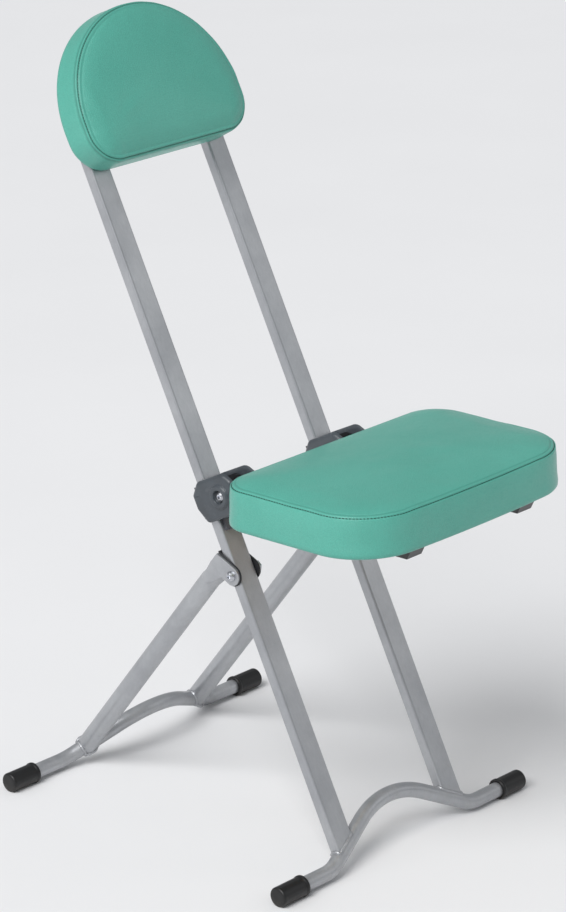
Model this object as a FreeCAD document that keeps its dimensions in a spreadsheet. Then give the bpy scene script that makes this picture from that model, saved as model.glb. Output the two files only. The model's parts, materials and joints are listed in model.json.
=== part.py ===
import FreeCAD, Part
import math
import os
import re
import Sketcher
from FreeCAD import Placement, Rotation, Vector

# Folding work stool with a sliding seat and a small backrest. Two rectangular rails lean back from a
# bent front foot bar, a two-legged rear frame is hinged to them, and the seat rides on the rails.
# +Z is up, the sitter faces -Y and X runs across. The origin is on the floor under the middle.

doc = FreeCAD.newDocument("folding_stool")

# ---------------------------------------------------------------- driving dimensions (mm, degrees)
dimensions = [
    # the two rails
    ("rail_spacing", 196.0, "centre to centre of the rails"),
    ("rail_width", 30.0, "rail section across the stool"),
    ("rail_depth", 15.0, "rail section front to back"),
    ("rail_wall", 1.5, "rail tube wall"),
    ("rail_corner", 3.0, "outer corner radius of the rail section"),
    ("rail_top", 985.0, "rail end, measured along the rail from the floor"),
    ("rail_lean", 27.8, "rail angle from the vertical"),
    ("plug_head", 3.0, "plug head on the rail end"),
    ("plug_stem", 12.0, "plug stem inside the rail"),
    ("plug_gap", 0.2, "clearance round the stem"),
    ("plug_shoulder", 2.0, "stem inset at the rounded corners of the tube"),
    # foot bars and their caps
    ("bar_diameter", 19.0, "foot bar tube"),
    ("bar_wall", 1.5, "foot bar tube wall"),
    ("front_bar_length", 436.0, "front foot bar, end to end without caps"),
    ("rear_bar_length", 442.0, "rear foot bar, end to end without caps"),
    ("arch_overhang", 29.0, "middle of a rail to the corner where the bar starts to rise"),
    ("arch_slope", 29.0, "slope of the rising stretches"),
    ("arch_crown_radius", 115.0, "bend radius at the top of the arch"),
    ("arch_bend_radius", 45.0, "bend radius at the foot of the arch"),
    ("cap_wall", 2.95, "wall of the rubber foot cap"),
    ("cap_fit", 0.05, "radial clearance between cap and bar"),
    ("cap_bevel", 1.6, "bevel round the closed end of the cap"),
    ("cap_length", 44.0, "rubber foot cap, with its closed end"),
    ("cap_end", 4.0, "closed end of the foot cap"),
    ("cap_flat", 0.25, "depth of the flat that the cap stands on"),
    # rear legs
    ("leg_diameter", 25.0, "rear leg tube"),
    ("leg_wall", 1.5, "rear leg tube wall"),
    ("leg_splay", 37.44, "rear leg angle from the vertical when open"),
    ("leg_offset", 27.6, "leg axis behind the pivot"),
    ("leg_top", -50.0, "top end of the leg tube, along the leg from the pivot"),
    ("pivot_height", 384.0, "leg pivot, measured along the rail"),
    # fork that joins a rear leg to its rail
    ("ear_radius", 12.0, "rounded nose of the fork round the pivot"),
    ("ear_wall", 2.5, "fork cheek"),
    ("ear_reach", 33.0, "back corner of the fork, behind the pivot"),
    ("ear_rise", 3.0, "back corner of the fork, above the pivot"),
    ("fork_foot", -14.0, "where the fork begins to narrow to the tube"),
    ("liner_wall", 1.8, "plastic liner between fork and rail"),
    ("liner_lip", 1.4, "liner edge that shows round the nose of the fork"),
    ("liner_back_lip", 1.0, "liner edge behind the fork"),
    ("liner_top_lip", 2.9, "liner edge above the back corner of the fork"),
    ("liner_fit", 0.05, "clearance between liner and fork"),
    ("pivot_gap", 0.35, "running gap beside and behind the rail"),
    ("pivot_bolt", 8.0, "leg pivot bolt"),
    ("pivot_head", 13.0, "domed head of the leg pivot bolt"),
    ("pivot_head_height", 4.4, "height of that head"),
    ("pivot_bolt_tail", 8.0, "end of the leg pivot bolt past the fork"),
    ("pivot_nut_height", 6.5, "lock nut of the leg pivot"),
    ("nut_flats", 13.0, "lock nuts across their flats"),
    ("bolt_clearance", 0.05, "radial running clearance of a pivot bolt"),
    # slider on each rail
    ("slider_height", 478.0, "seat pivot in its lowest place, along the rail"),
    ("slider_reach", 34.7, "seat pivot in front of the rail axis"),
    ("slider_travel", 221.0, "travel of the sliders from the lowest to the highest place"),
    ("slider_gap", 0.45, "running gap between rail and slider"),
    ("yoke_wall", 2.5, "steel yoke of the slider"),
    ("yoke_rise", 20.0, "half height of the yoke beside the rail"),
    ("yoke_nose", 12.0, "front of the yoke, ahead of the seat bolt"),
    ("yoke_nose_rise", 11.0, "half height of the yoke at its front"),
    ("yoke_shoulder", 6.0, "where the yoke starts to taper, behind the seat bolt"),
    ("cover_wall", 2.4, "plastic cover behind the yoke"),
    ("cover_cheek", 6.4, "thickness of the cover's side"),
    ("cover_fit", 0.1, "clearance between yoke and cover"),
    ("cover_rise", 25.5, "top of the cover above the seat bolt"),
    ("cover_drop", 26.0, "bottom of the cover below the seat bolt"),
    ("cover_nose", 24.0, "front of the cover ahead of the seat bolt"),
    ("cover_nose_rise", 15.0, "top of that front, and how far the top edge slopes back from it"),
    ("cover_nose_base", 4.0, "bottom of that front"),
    ("cover_chin", 8.0, "front end of the bottom edge, ahead of the seat bolt"),
    ("cover_heel", 3.0, "back end of the bottom edge, behind the rail axis"),
    ("cover_back_rise", 12.0, "top of the cover's back"),
    ("cover_back_drop", 6.0, "bottom of the cover's back"),
    ("cover_top_end", 1.0, "back end of the top edge, ahead of the rail axis"),
    ("cover_corner", 5.0, "rounding of the cover's corners seen from the side"),
    ("cover_edge", 2.2, "rounding round the cover's side"),
    ("boss_radius", 13.5, "round boss of the cover"),
    ("boss_height", 3.0, "boss above the cover's side"),
    ("boss_edge", 1.2, "rounding of the boss"),
    ("boss_recess", 6.0, "depth of the bolt head's seat in the boss"),
    ("boss_recess_gap", 1.2, "clearance round the bolt head in its seat"),
    ("seat_bolt", 8.0, "bolt that the seat tips on"),
    ("seat_bolt_head", 13.0, "head of the seat bolt"),
    ("seat_head_height", 5.0, "height of that head, and of the lock nut"),
    # seat
    ("washer_thickness", 2.6, "washer between arm and yoke"),
    ("washer_radius", 9.5, "outer radius of that washer"),
    ("washer_gap", 0.1, "clearance between washer and yoke"),
    ("arm_side_gap", 0.25, "clearance between arm and washer"),
    ("arm_wall", 2.5, "seat arm wall"),
    ("arm_height", 15.0, "seat arm under the board"),
    ("arm_head", 15.0, "round head of the seat arm"),
    ("arm_reach", 291.0, "front end of the seat arm, ahead of its pivot"),
    ("seat_pitch", 2.6, "rise of the seat towards its front at rest"),
    ("arm_top", -3.0, "top of the seat arm above its pivot"),
    ("arm_neck", 43.2, "back end of the arm's flat top, ahead of its pivot"),
    ("arm_bevel", 8.0, "slope of the arm's front end"),
    ("heel_drop", 33.0, "heel below the pivot, along the rail"),
    ("heel_depth", 11.0, "middle of the heel in front of the rail"),
    ("shoe_half", 8.0, "half height of the brake shoe's bearing face"),
    ("shoe_gap", 0.35, "brake shoe in front of the rail"),
    ("shoe_nose", 9.0, "front of the brake shoe, ahead of the middle of the heel"),
    ("shoe_round", 2.0, "rounding of the brake shoe"),
    ("shoe_fit", 0.05, "clearance of the brake shoe in the channel"),
    ("bush_diameter", 12.0, "plastic bush in the arm"),
    ("bush_fit", 0.02, "radial fit of the bush in the arm"),
    ("bush_end", 2.5, "bush past the arm, inside the washer"),
    ("bush_gap", 0.1, "radial clearance between bush and washer"),
    ("pad_back", 56.0, "back edge of the seat pad, ahead of the pivot"),
    ("pad_depth", 247.0, "seat pad front to back"),
    ("pad_width", 388.0, "seat pad across"),
    ("pad_thickness", 57.0, "seat pad with the skirt round its board"),
    ("pad_front_corner", 76.0, "plan radius of the front corners"),
    ("pad_back_corner", 46.0, "plan radius of the back corners"),
    ("pad_edge", 11.0, "rounding of the pads' top edge"),
    ("skirt", 8.0, "cover and foam outside the edge of a board"),
    ("seat_board_thickness", 12.0, "plywood seat board"),
    ("board_fit", 0.15, "clearance between a board and its pad"),
    ("screw_diameter", 5.0, "seat and back screws"),
    ("screw_hole_gap", 0.1, "radial clearance of a screw in steel"),
    ("screw_first", 40.0, "rear seat screw ahead of the pad's back edge"),
    ("screw_last", 45.0, "front seat screw behind the pad's front edge"),
    ("barrel_wall", 1.1, "barrel of the tee nuts"),
    ("barrel_gap", 0.1, "radial clearance round that barrel"),
    ("nut_flange", 17.0, "flange of the tee nuts in the boards"),
    ("nut_flange_wall", 1.2, "thickness of that flange"),
    ("flange_gap", 0.2, "radial clearance round that flange"),
    # backrest
    ("back_drop", 96.0, "lower edge of the backrest below the rails' ends"),
    ("back_overhang", 35.0, "side of the backrest past the middle of a rail"),
    ("back_square", 54.0, "lower edge to the middle of the round top"),
    ("back_corner", 40.0, "lower corner radius of the backrest"),
    ("back_gap", 0.8, "backrest skirt in front of the rail"),
    ("back_thickness", 41.0, "backrest pad"),
    ("back_board_thickness", 9.0, "plywood back board"),
    ("back_screw_low", 30.0, "lower screw above the backrest's lower edge"),
    ("back_screw_pitch", 38.0, "distance between the two screws on a rail"),
]
sheet = doc.addObject("Spreadsheet::Sheet", "Dimensions")
sizes = {}
for row, (alias, number, note) in enumerate(dimensions, start=1):
    sheet.set(f"A{row}", note)
    sheet.set(f"B{row}", str(number))
    sheet.setAlias(f"B{row}", alias)
doc.recompute()
for alias, number, note in dimensions:
    sizes[alias] = float(sheet.get(alias))

alias_word = re.compile(r"\b(" + "|".join(sizes) + r")\b")


def bound(text):
    """An expression on the sheet's aliases, as the document reads it."""
    return alias_word.sub(r"Dimensions.\1", text)


def value(text):
    """The number that such an expression has now."""
    return float(sheet.evalExpression(bound(text)))


# sizes that follow from others
arch_half_width = "(rail_spacing/2+arch_overhang)"
cap_radius = "(bar_diameter/2+cap_fit+cap_wall)"
back_bottom = "(rail_top-back_drop)"
back_half_width = "(rail_spacing/2+back_overhang)"
arm_half = "(rail_width/2+slider_gap-washer_gap-washer_thickness-arm_side_gap)"


# ---------------------------------------------------------------- helpers
def new_body(label, place):
    body = doc.addObject("PartDesign::Body", label)
    body.Label = label
    body.Placement = place
    return body


def new_sketch(body, role, offset="0"):
    """A sketch on one of the body's own origin planes, moved along the plane's normal."""
    sketch = body.newObject("Sketcher::SketchObject", body.Name + "_sketch")
    plane = next(item for item in body.Origin.OriginFeatures if item.Role == role)
    sketch.AttachmentSupport = [(plane, "")]
    sketch.MapMode = "FlatFace"
    sketch.AttachmentOffset = Placement(Vector(0, 0, value(offset)), Rotation())
    sketch.setExpression(".AttachmentOffset.Base.z", bound(offset))
    return sketch


def add_polygon(sketch, corners):
    """A closed outline whose corners are pairs of expressions."""
    points = [Vector(value(across), value(up), 0) for across, up in corners]
    first = sketch.GeometryCount
    count = len(points)
    for index in range(count):
        sketch.addGeometry(Part.LineSegment(points[index], points[(index + 1) % count]), False)
    for index, (across, up) in enumerate(corners):
        line = first + index
        previous = first + (index - 1) % count
        sketch.addConstraint(Sketcher.Constraint("Coincident", previous, 2, line, 1))
        point = points[index]
        for kind, text, number in (("DistanceX", across, point.x), ("DistanceY", up, point.y)):
            datum = sketch.addConstraint(Sketcher.Constraint(kind, -1, 1, line, 1, number))
            sketch.setExpression(f"Constraints[{datum}]", bound(text))


def add_circle(sketch, radius, across="0", up="0"):
    """A circle whose radius and centre are expressions."""
    centre = Vector(value(across), value(up), 0)
    circle = sketch.addGeometry(Part.Circle(centre, Vector(0, 0, 1), value(radius)), False)
    datum = sketch.addConstraint(Sketcher.Constraint("Radius", circle, value(radius)))
    sketch.setExpression(f"Constraints[{datum}]", bound(radius))
    for kind, text, number in (("DistanceX", across, centre.x), ("DistanceY", up, centre.y)):
        datum = sketch.addConstraint(Sketcher.Constraint(kind, -1, 1, circle, 3, number))
        sketch.setExpression(f"Constraints[{datum}]", bound(text))


def add_fixed(sketch, shapes):
    """Lines and arcs worked out from the sheet, which meet end to end and are held where they are."""
    for shape in shapes:
        index = sketch.addGeometry(shape, False)
        sketch.addConstraint(Sketcher.Constraint("Block", index))


def pad(body, sketch, length):
    feature = body.newObject("PartDesign::Pad", body.Name + "_pad")
    feature.Profile = sketch
    feature.Length = value(length)
    feature.setExpression("Length", bound(length))
    doc.recompute()
    return feature


def cut(body, sketch, length, reverse=False):
    """A pocket against the sketch's normal, or along it when reversed, that must remove something."""
    before = body.Shape.Volume
    feature = body.newObject("PartDesign::Pocket", body.Name + "_pocket")
    feature.Profile = sketch
    feature.Reversed = reverse
    feature.Length = value(length)
    feature.setExpression("Length", bound(length))
    doc.recompute()
    assert body.Shape.Volume < before - 0.01, f"{body.Label}: a pocket removed nothing"
    return feature


def revolve(body, sketch, axis):
    feature = body.newObject("PartDesign::Revolution", body.Name + "_turned")
    feature.Profile = sketch
    feature.ReferenceAxis = (sketch, [axis])
    feature.Angle = 360.0
    doc.recompute()
    return feature


def round_edges(body, radius, test):
    """A fillet on the straight or round edges of the body's last feature that pass the test."""
    base = body.Tip
    names = []
    for index, edge in enumerate(base.Shape.Edges, start=1):
        if test(edge):
            names.append(f"Edge{index}")
    feature = body.newObject("PartDesign::Fillet", body.Name + "_round")
    feature.Base = (base, names)
    feature.Radius = value(radius)
    feature.setExpression("Radius", bound(radius))
    doc.recompute()
    return feature


def slab(body, corners, start, end):
    """A plate cut to an outline in the YZ plane, from one X to another."""
    sketch = new_sketch(body, "YZ_Plane", start)
    add_polygon(sketch, corners)
    return pad(body, sketch, f"({end})-({start})")


def slab_cut(body, corners, start, end):
    """The same outline cut away between two X places."""
    sketch = new_sketch(body, "YZ_Plane", end)
    add_polygon(sketch, corners)
    return cut(body, sketch, f"({end})-({start})")


def disc(body, radius, start, end, across="0", up="0"):
    """A round plate with its axis along X."""
    sketch = new_sketch(body, "YZ_Plane", start)
    add_circle(sketch, radius, across, up)
    return pad(body, sketch, f"({end})-({start})")


def drill(body, radius, start, end, across="0", up="0"):
    """A round hole along X."""
    sketch = new_sketch(body, "YZ_Plane", end)
    add_circle(sketch, radius, across, up)
    return cut(body, sketch, f"({end})-({start})")


def along_x(edge):
    return edge.Curve.TypeId == "Part::GeomLine" and abs(edge.tangentAt(edge.FirstParameter).x) > 0.999


def turn_right(amount):
    """Sides are -1 on the left and +1 on the right; this mirrors an X range for the left side."""
    return {-1: lambda low, high: (f"-({high})", f"-({low})"), 1: lambda low, high: (low, high)}[amount]


def rounded_path(points, radii):
    """Lines through the points, with a tangent arc of its own radius at each inner point."""
    shapes = []
    start = points[0]
    for index in range(1, len(points) - 1):
        corner = points[index]
        towards = (points[index - 1] - corner).normalize()
        away = (points[index + 1] - corner).normalize()
        half = towards.getAngle(away) / 2
        radius = radii[index - 1]
        enter = corner + towards * (radius / math.tan(half))
        leave = corner + away * (radius / math.tan(half))
        inward = (towards + away).normalize()
        middle = corner + inward * (radius / math.sin(half) - radius)
        shapes.append(Part.LineSegment(start, enter))
        shapes.append(Part.Arc(enter, middle, leave))
        start = leave
    shapes.append(Part.LineSegment(start, points[-1]))
    return shapes


# ---------------------------------------------------------------- where the groups stand
lean = math.radians(sizes["rail_lean"])
splay = math.radians(sizes["leg_splay"])
up_rail = Vector(0, math.sin(lean), math.cos(lean))
ahead_of_rail = Vector(0, -math.cos(lean), math.sin(lean))
foot_height = value(f"{cap_radius}-cap_flat")

# the seat pad reaches furthest forward and the top of the backrest furthest back
pivot_from_foot = up_rail * sizes["slider_height"] + ahead_of_rail * sizes["slider_reach"]
pad_low_front = Vector(0, -sizes["pad_back"] - sizes["pad_depth"], sizes["arm_top"])
seat_turn = Rotation(Vector(1, 0, 0), -sizes["seat_pitch"])
front_reach = pivot_from_foot.y + seat_turn.multVec(pad_low_front).y
back_top = value(f"{back_bottom}+back_square+{back_half_width}")
back_face = sizes["rail_depth"] / 2 + sizes["back_gap"]
back_reach = (up_rail * back_top + ahead_of_rail * back_face).y
foot_y = -(front_reach + back_reach) / 2

rail_foot = Vector(0, foot_y, 0)
rail_place = Placement(rail_foot, Rotation(Vector(1, 0, 0), -sizes["rail_lean"]))
leg_pivot = rail_foot + up_rail * sizes["pivot_height"]
leg_place = Placement(leg_pivot, Rotation(Vector(1, 0, 0), sizes["leg_splay"]))
slider_place = Placement(rail_foot + up_rail * sizes["slider_height"], rail_place.Rotation)
seat_place = Placement(rail_foot + pivot_from_foot, seat_turn)

front_bar_height = foot_height / math.cos(lean)
leg_axis_height = leg_pivot.z + sizes["leg_offset"] * math.sin(splay)
rear_bar_drop = (leg_axis_height - foot_height) / math.cos(splay)
arch_slope = math.radians(sizes["arch_slope"])


def beside(place, side, across=0.0, back=0.0, along=0.0):
    """A placement moved to one rail's side and then within its own group."""
    shift = Vector(side * sizes["rail_spacing"] / 2 + across, back, along)
    return place.multiply(Placement(shift, Rotation()))


# ---------------------------------------------------------------- foot bars and caps
def foot_bar(label, place, length):
    """A round tube with flat ends and an arch in the middle, bent in its own XZ plane."""
    body = new_body(label, place)
    half = sizes[length] / 2
    corner = value(arch_half_width)
    points = [
        Vector(-half, 0, 0),
        Vector(-corner, 0, 0),
        Vector(0, corner * math.tan(arch_slope), 0),
        Vector(corner, 0, 0),
        Vector(half, 0, 0),
    ]
    bends = [sizes["arch_bend_radius"], sizes["arch_crown_radius"], sizes["arch_bend_radius"]]
    spine = new_sketch(body, "XZ_Plane")
    add_fixed(spine, rounded_path(points, bends))
    section = new_sketch(body, "YZ_Plane", f"-{length}/2")
    add_circle(section, "bar_diameter/2")
    add_circle(section, "bar_diameter/2-bar_wall")
    doc.recompute()
    pipe = body.newObject("PartDesign::AdditivePipe", body.Name + "_pipe")
    pipe.Profile = section
    pipe.Spine = spine
    doc.recompute()
    return body


def foot_cap(label, place, side, length):
    """A moulded cap pushed over the bar's end, with a lip at its mouth and a flat underneath."""
    end = side * (sizes[length] / 2 + sizes["cap_end"])
    body = new_body(label, Placement(place.multVec(Vector(end, 0, 0)), Rotation()))
    sketch = new_sketch(body, "XZ_Plane")
    inward = "-" if side > 0 else ""
    wall = "bar_diameter/2+cap_fit"
    add_polygon(sketch, [
        ("0", "0"),
        ("0", f"{cap_radius}-cap_bevel"),
        (f"{inward}cap_bevel", cap_radius),
        (f"{inward}cap_length", cap_radius),
        (f"{inward}cap_length", wall),
        (f"{inward}cap_end", wall),
        (f"{inward}cap_end", "0"),
    ])
    revolve(body, sketch, "H_Axis")
    flat = new_sketch(body, "XZ_Plane", f"-2*{cap_radius}")
    add_polygon(flat, [
        (f"{inward}(cap_length+1)", f"-{cap_radius}+cap_flat"),
        (f"{inward}(-1)", f"-{cap_radius}+cap_flat"),
        (f"{inward}(-1)", f"-2*{cap_radius}"),
        (f"{inward}(cap_length+1)", f"-2*{cap_radius}"),
    ])
    cut(body, flat, f"4*{cap_radius}", reverse=True)
    return body


front_bar_place = beside(rail_place, 0, along=front_bar_height)
rear_bar_place = beside(leg_place, 0, back=sizes["leg_offset"], along=-rear_bar_drop)
nodes = [
    foot_bar("front_foot_bar", front_bar_place, "front_bar_length"),
    foot_bar("rear_foot_bar", rear_bar_place, "rear_bar_length"),
]
sides = {"left": -1, "right": 1}
for name, side in sides.items():
    nodes.append(foot_cap(f"front_cap_{name}", front_bar_place, side, "front_bar_length"))
    nodes.append(foot_cap(f"rear_cap_{name}", rear_bar_place, side, "rear_bar_length"))


def bar_cutter(label, place, side):
    """The stretch of foot bar that a leg stands on, as a solid rod to cope the leg's end with."""
    rod = doc.addObject("Part::Cylinder", label)
    rod.setExpression("Radius", bound("bar_diameter/2"))
    rod.Height = value(arch_half_width) / math.cos(arch_slope)
    tilt = Rotation(Vector(0, 1, 0), side * -(90 - sizes["arch_slope"]))
    rod.Placement = place.multiply(Placement(Vector(side * value(arch_half_width), 0, 0), tilt))
    return rod


def coped(label, tube, place, side):
    """A tube whose lower end is cut to sit on the foot bar."""
    joint = doc.addObject("Part::Cut", label + "_with_offcut")
    joint.Base = tube
    joint.Tool = bar_cutter(label + "_cope", place, side)
    doc.recompute()
    # the cope can leave an offcut below the bar, which is dropped
    piece = doc.addObject("Part::Feature", label)
    piece.Shape = max(joint.Shape.Solids, key=lambda solid: solid.Volume)
    piece.Label = label
    return piece


# ---------------------------------------------------------------- rails
pivot_hole = "pivot_bolt/2+bolt_clearance"
leg_stand_rise = sizes["arch_overhang"] * math.tan(arch_slope)
back_screw_heights = [
    f"{back_bottom}+back_screw_low",
    f"{back_bottom}+back_screw_low+back_screw_pitch",
]


def is_upright(edge):
    return edge.Curve.TypeId == "Part::GeomLine" and abs(edge.tangentAt(edge.FirstParameter).z) > 0.999


def rectangle(half_width, half_depth):
    """The four corners of a rectangle round the origin."""
    return [
        (f"-({half_width})", f"-({half_depth})"),
        (half_width, f"-({half_depth})"),
        (half_width, half_depth),
        (f"-({half_width})", half_depth),
    ]


def rail(label, side):
    start = front_bar_height + leg_stand_rise
    body = new_body(label + "_tube", beside(rail_place, side))
    sketch = new_sketch(body, "XY_Plane")
    sketch.AttachmentOffset = Placement(Vector(0, 0, start), Rotation())
    sketch.setExpression(".AttachmentOffset.Base.z", None)
    for half_width, half_depth in (
        ("rail_width/2", "rail_depth/2"),
        ("rail_width/2-rail_wall", "rail_depth/2-rail_wall"),
    ):
        add_polygon(sketch, rectangle(half_width, half_depth))
    pad(body, sketch, f"rail_top-{start}")
    outside = sizes["rail_width"] / 2
    inside = outside - sizes["rail_wall"]

    def corner_at(place):
        return lambda edge: is_upright(edge) and abs(abs(edge.CenterOfMass.x) - place) < 0.05

    round_edges(body, "rail_corner", corner_at(outside))
    round_edges(body, "rail_corner-rail_wall", corner_at(inside))
    drill(body, pivot_hole, "-rail_width", "rail_width", "0", "pivot_height")
    holes = new_sketch(body, "XZ_Plane", "-rail_depth")
    for height in back_screw_heights:
        add_circle(holes, "screw_diameter/2+screw_hole_gap", "0", height)
    cut(body, holes, "2*rail_depth", reverse=True)
    return coped(label, body, front_bar_place, side)


def rail_plug(label, side):
    """A plastic plug: a thin head on the tube's end and a stem inside it."""
    body = new_body(label, beside(rail_place, side))
    head = new_sketch(body, "XY_Plane", "rail_top")
    add_polygon(head, rectangle("rail_width/2", "rail_depth/2"))
    pad(body, head, "plug_head")
    round_edges(body, "rail_corner", is_upright)
    stem = new_sketch(body, "XY_Plane", "rail_top-plug_stem")
    inside = "-rail_wall-plug_gap"
    add_polygon(stem, rectangle(f"rail_width/2{inside}-plug_shoulder", f"rail_depth/2{inside}"))
    pad(body, stem, "plug_stem")
    return body


# ---------------------------------------------------------------- rear legs and their forks
def rear_leg(label, side):
    body = new_body(label + "_tube", beside(leg_place, side, back=sizes["leg_offset"]))
    lower = leg_stand_rise - rear_bar_drop
    sketch = new_sketch(body, "XY_Plane")
    sketch.AttachmentOffset = Placement(Vector(0, 0, lower), Rotation())
    sketch.setExpression(".AttachmentOffset.Base.z", None)
    add_circle(sketch, "leg_diameter/2")
    add_circle(sketch, "leg_diameter/2-leg_wall")
    pad(body, sketch, f"leg_top-({lower})")
    return coped(label, body, rear_bar_place, side)


# the rail's back face as the open fork sees it: a line at this slope, behind the pivot
rail_in_fork = math.radians(90 - sizes["rail_lean"] - sizes["leg_splay"])
slot_half = "(rail_width/2+pivot_gap+liner_wall)"


clear_of_fork = 2 * sizes["ear_reach"]


def rail_back_rise(across, offset):
    """How high a plane at an offset behind the open rail's axis stands, at a place across the fork."""
    return (across * math.sin(rail_in_fork) - offset) / math.cos(rail_in_fork)


def behind_rail(offset):
    """Corners of the space that the rail sweeps in the fork, from open to folded."""
    knee = rail_back_rise(offset, offset)
    far = clear_of_fork
    far_rise = rail_back_rise(far, offset)
    return [
        (f"{-far}", f"{-far}"),
        (f"{offset}", f"{-far}"),
        (f"{offset}", f"{knee}"),
        (f"{far}", f"{far_rise}"),
        (f"{far}", f"{far}"),
        (f"{-far}", f"{far}"),
    ]


def nose_outline(radius, corner_y, corner_z, foot_y_place, foot_z):
    """A rounded nose round the pivot, joined by tangents to a back corner and a lower corner."""
    def touch(point, turn):
        distance = point.Length
        angle = math.atan2(point.y, point.x) + turn * math.acos(radius / distance)
        return Vector(radius * math.cos(angle), radius * math.sin(angle), 0)

    back = Vector(corner_y, corner_z, 0)
    lower_back = Vector(corner_y, foot_z, 0)
    lower = Vector(foot_y_place, foot_z, 0)
    over = touch(back, 1)
    under = touch(lower, -1)
    return [
        Part.LineSegment(back, over),
        Part.Arc(over, Vector(-radius, 0, 0), under),
        Part.LineSegment(under, lower),
        Part.LineSegment(lower, lower_back),
        Part.LineSegment(lower_back, back),
    ]


web_front = sizes["rail_depth"] / 2 + sizes["pivot_gap"] + sizes["liner_wall"]


def leg_fork(label, side):
    """The swaged steel end of a rear leg: two ears round the rail and a neck down to the tube."""
    body = new_body(label, beside(leg_place, side))
    cheek = f"({slot_half}+ear_wall)"
    sketch = new_sketch(body, "YZ_Plane", f"-{cheek}")
    reach = sizes["ear_reach"]
    nose = nose_outline(sizes["ear_radius"], reach, sizes["ear_rise"], web_front, sizes["fork_foot"])
    add_fixed(sketch, nose)
    pad(body, sketch, f"2*{cheek}")
    slab_cut(body, behind_rail(web_front), f"-{slot_half}", slot_half)
    drill(body, pivot_hole, f"-{cheek}-1", f"{cheek}+1")
    upper = new_sketch(body, "XY_Plane", "fork_foot")
    wide = value(cheek)
    deep = [web_front, reach]
    corners = [
        Vector(-wide, deep[0], 0),
        Vector(wide, deep[0], 0),
        Vector(wide, deep[1], 0),
        Vector(-wide, deep[1], 0),
    ]
    add_fixed(upper, [Part.LineSegment(corners[index], corners[(index + 1) % 4]) for index in range(4)])
    lower = new_sketch(body, "XY_Plane", "leg_top")
    radius = sizes["leg_diameter"] / 2
    centre = Vector(0, sizes["leg_offset"], 0)
    spread = math.atan2((deep[1] - deep[0]) / 2, wide)
    turns = [math.pi + spread, 2 * math.pi - spread, spread, math.pi - spread]
    arcs = []
    for index in range(4):
        begin = turns[index]
        finish = turns[(index + 1) % 4]
        if finish < begin:
            finish += 2 * math.pi
        points = [centre + Vector(radius * math.cos(angle), radius * math.sin(angle), 0)
                  for angle in (begin, (begin + finish) / 2, finish)]
        arcs.append(Part.Arc(*points))
    add_fixed(lower, arcs)
    doc.recompute()
    neck = body.newObject("PartDesign::AdditiveLoft", body.Name + "_neck")
    neck.Profile = upper
    neck.Sections = [lower]
    neck.Ruled = True
    doc.recompute()
    return body


def fork_liner(label, side):
    """A black plastic saddle in the fork, between its ears and the rail."""
    body = new_body(label, beside(leg_place, side))
    outer = f"({slot_half}-liner_fit)"
    inner = "(rail_width/2+pivot_gap)"
    lip = sizes["liner_lip"]
    offset = web_front - sizes["liner_fit"]
    back = sizes["ear_reach"] + sizes["liner_back_lip"]
    top = sizes["ear_rise"] + sizes["liner_top_lip"]
    sketch = new_sketch(body, "YZ_Plane", f"-{outer}")
    add_fixed(sketch, nose_outline(sizes["ear_radius"] + lip, back, top, offset, sizes["fork_foot"] - lip))
    pad(body, sketch, f"2*{outer}")
    # behind the saddle's back it is cut to lie on the fork's web
    knee = rail_back_rise(offset, offset)
    far = clear_of_fork
    far_rise = rail_back_rise(far, offset)
    slab_cut(body, [
        (f"{offset}", f"{-far}"),
        (f"{far}", f"{-far}"),
        (f"{far}", f"{far_rise}"),
        (f"{offset}", f"{knee}"),
    ], f"-{outer}-1", f"{outer}+1")
    slab_cut(body, behind_rail(sizes["rail_depth"] / 2 + sizes["pivot_gap"]), f"-{inner}", inner)
    drill(body, pivot_hole, f"-{outer}-1", f"{outer}+1")
    return body


def hexagon(reach):
    """Six lines round the origin, with a corner at that reach."""
    corners = []
    for step in range(6):
        turn = math.radians(60 * step)
        corners.append(Vector(reach * math.cos(turn), reach * math.sin(turn), 0))
    return [Part.LineSegment(corners[step], corners[(step + 1) % 6]) for step in range(6)]


def dome_bolt(label, place, side, grip, head, head_height, shank, tail):
    """A bolt along X with a low domed head outside the frame and a hexagon socket in it.

    The dome is three chords: flat to 0.26 of the head's diameter, then down to 0.42 and 0.5 of it.
    """
    turn = Rotation() if side > 0 else Rotation(Vector(0, 0, 1), 180)
    body = new_body(label, place.multiply(Placement(Vector(), turn)))
    sketch = new_sketch(body, "XZ_Plane")
    add_polygon(sketch, [
        (grip, "0"),
        (f"{grip}+{head_height}", "0"),
        (f"{grip}+{head_height}", f"{head}*0.26"),
        (f"{grip}+{head_height}*0.72", f"{head}*0.42"),
        (f"{grip}+{head_height}*0.3", f"{head}*0.5"),
        (grip, f"{head}*0.5"),
        (grip, f"{shank}/2"),
        (f"-({tail})", f"{shank}/2"),
        (f"-({tail})", "0"),
    ])
    revolve(body, sketch, "H_Axis")
    socket = new_sketch(body, "YZ_Plane", f"{grip}+{head_height}")
    add_fixed(socket, hexagon(value(f"{shank}*0.32")))
    cut(body, socket, f"{head_height}*0.7")
    return body


def lock_nut(label, place, side, inner_face, height, bore):
    """A hexagon nut on the bolt's inner end."""
    turn = Rotation() if side > 0 else Rotation(Vector(0, 0, 1), 180)
    body = new_body(label, place.multiply(Placement(Vector(), turn)))
    sketch = new_sketch(body, "YZ_Plane", f"-({inner_face})-({height})")
    add_fixed(sketch, hexagon(sizes["nut_flats"] / 2 / math.cos(math.radians(30))))
    pad(body, sketch, height)
    drill(body, f"{bore}/2", f"-({inner_face})-({height})-1", f"-({inner_face})+1")
    return body


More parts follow.
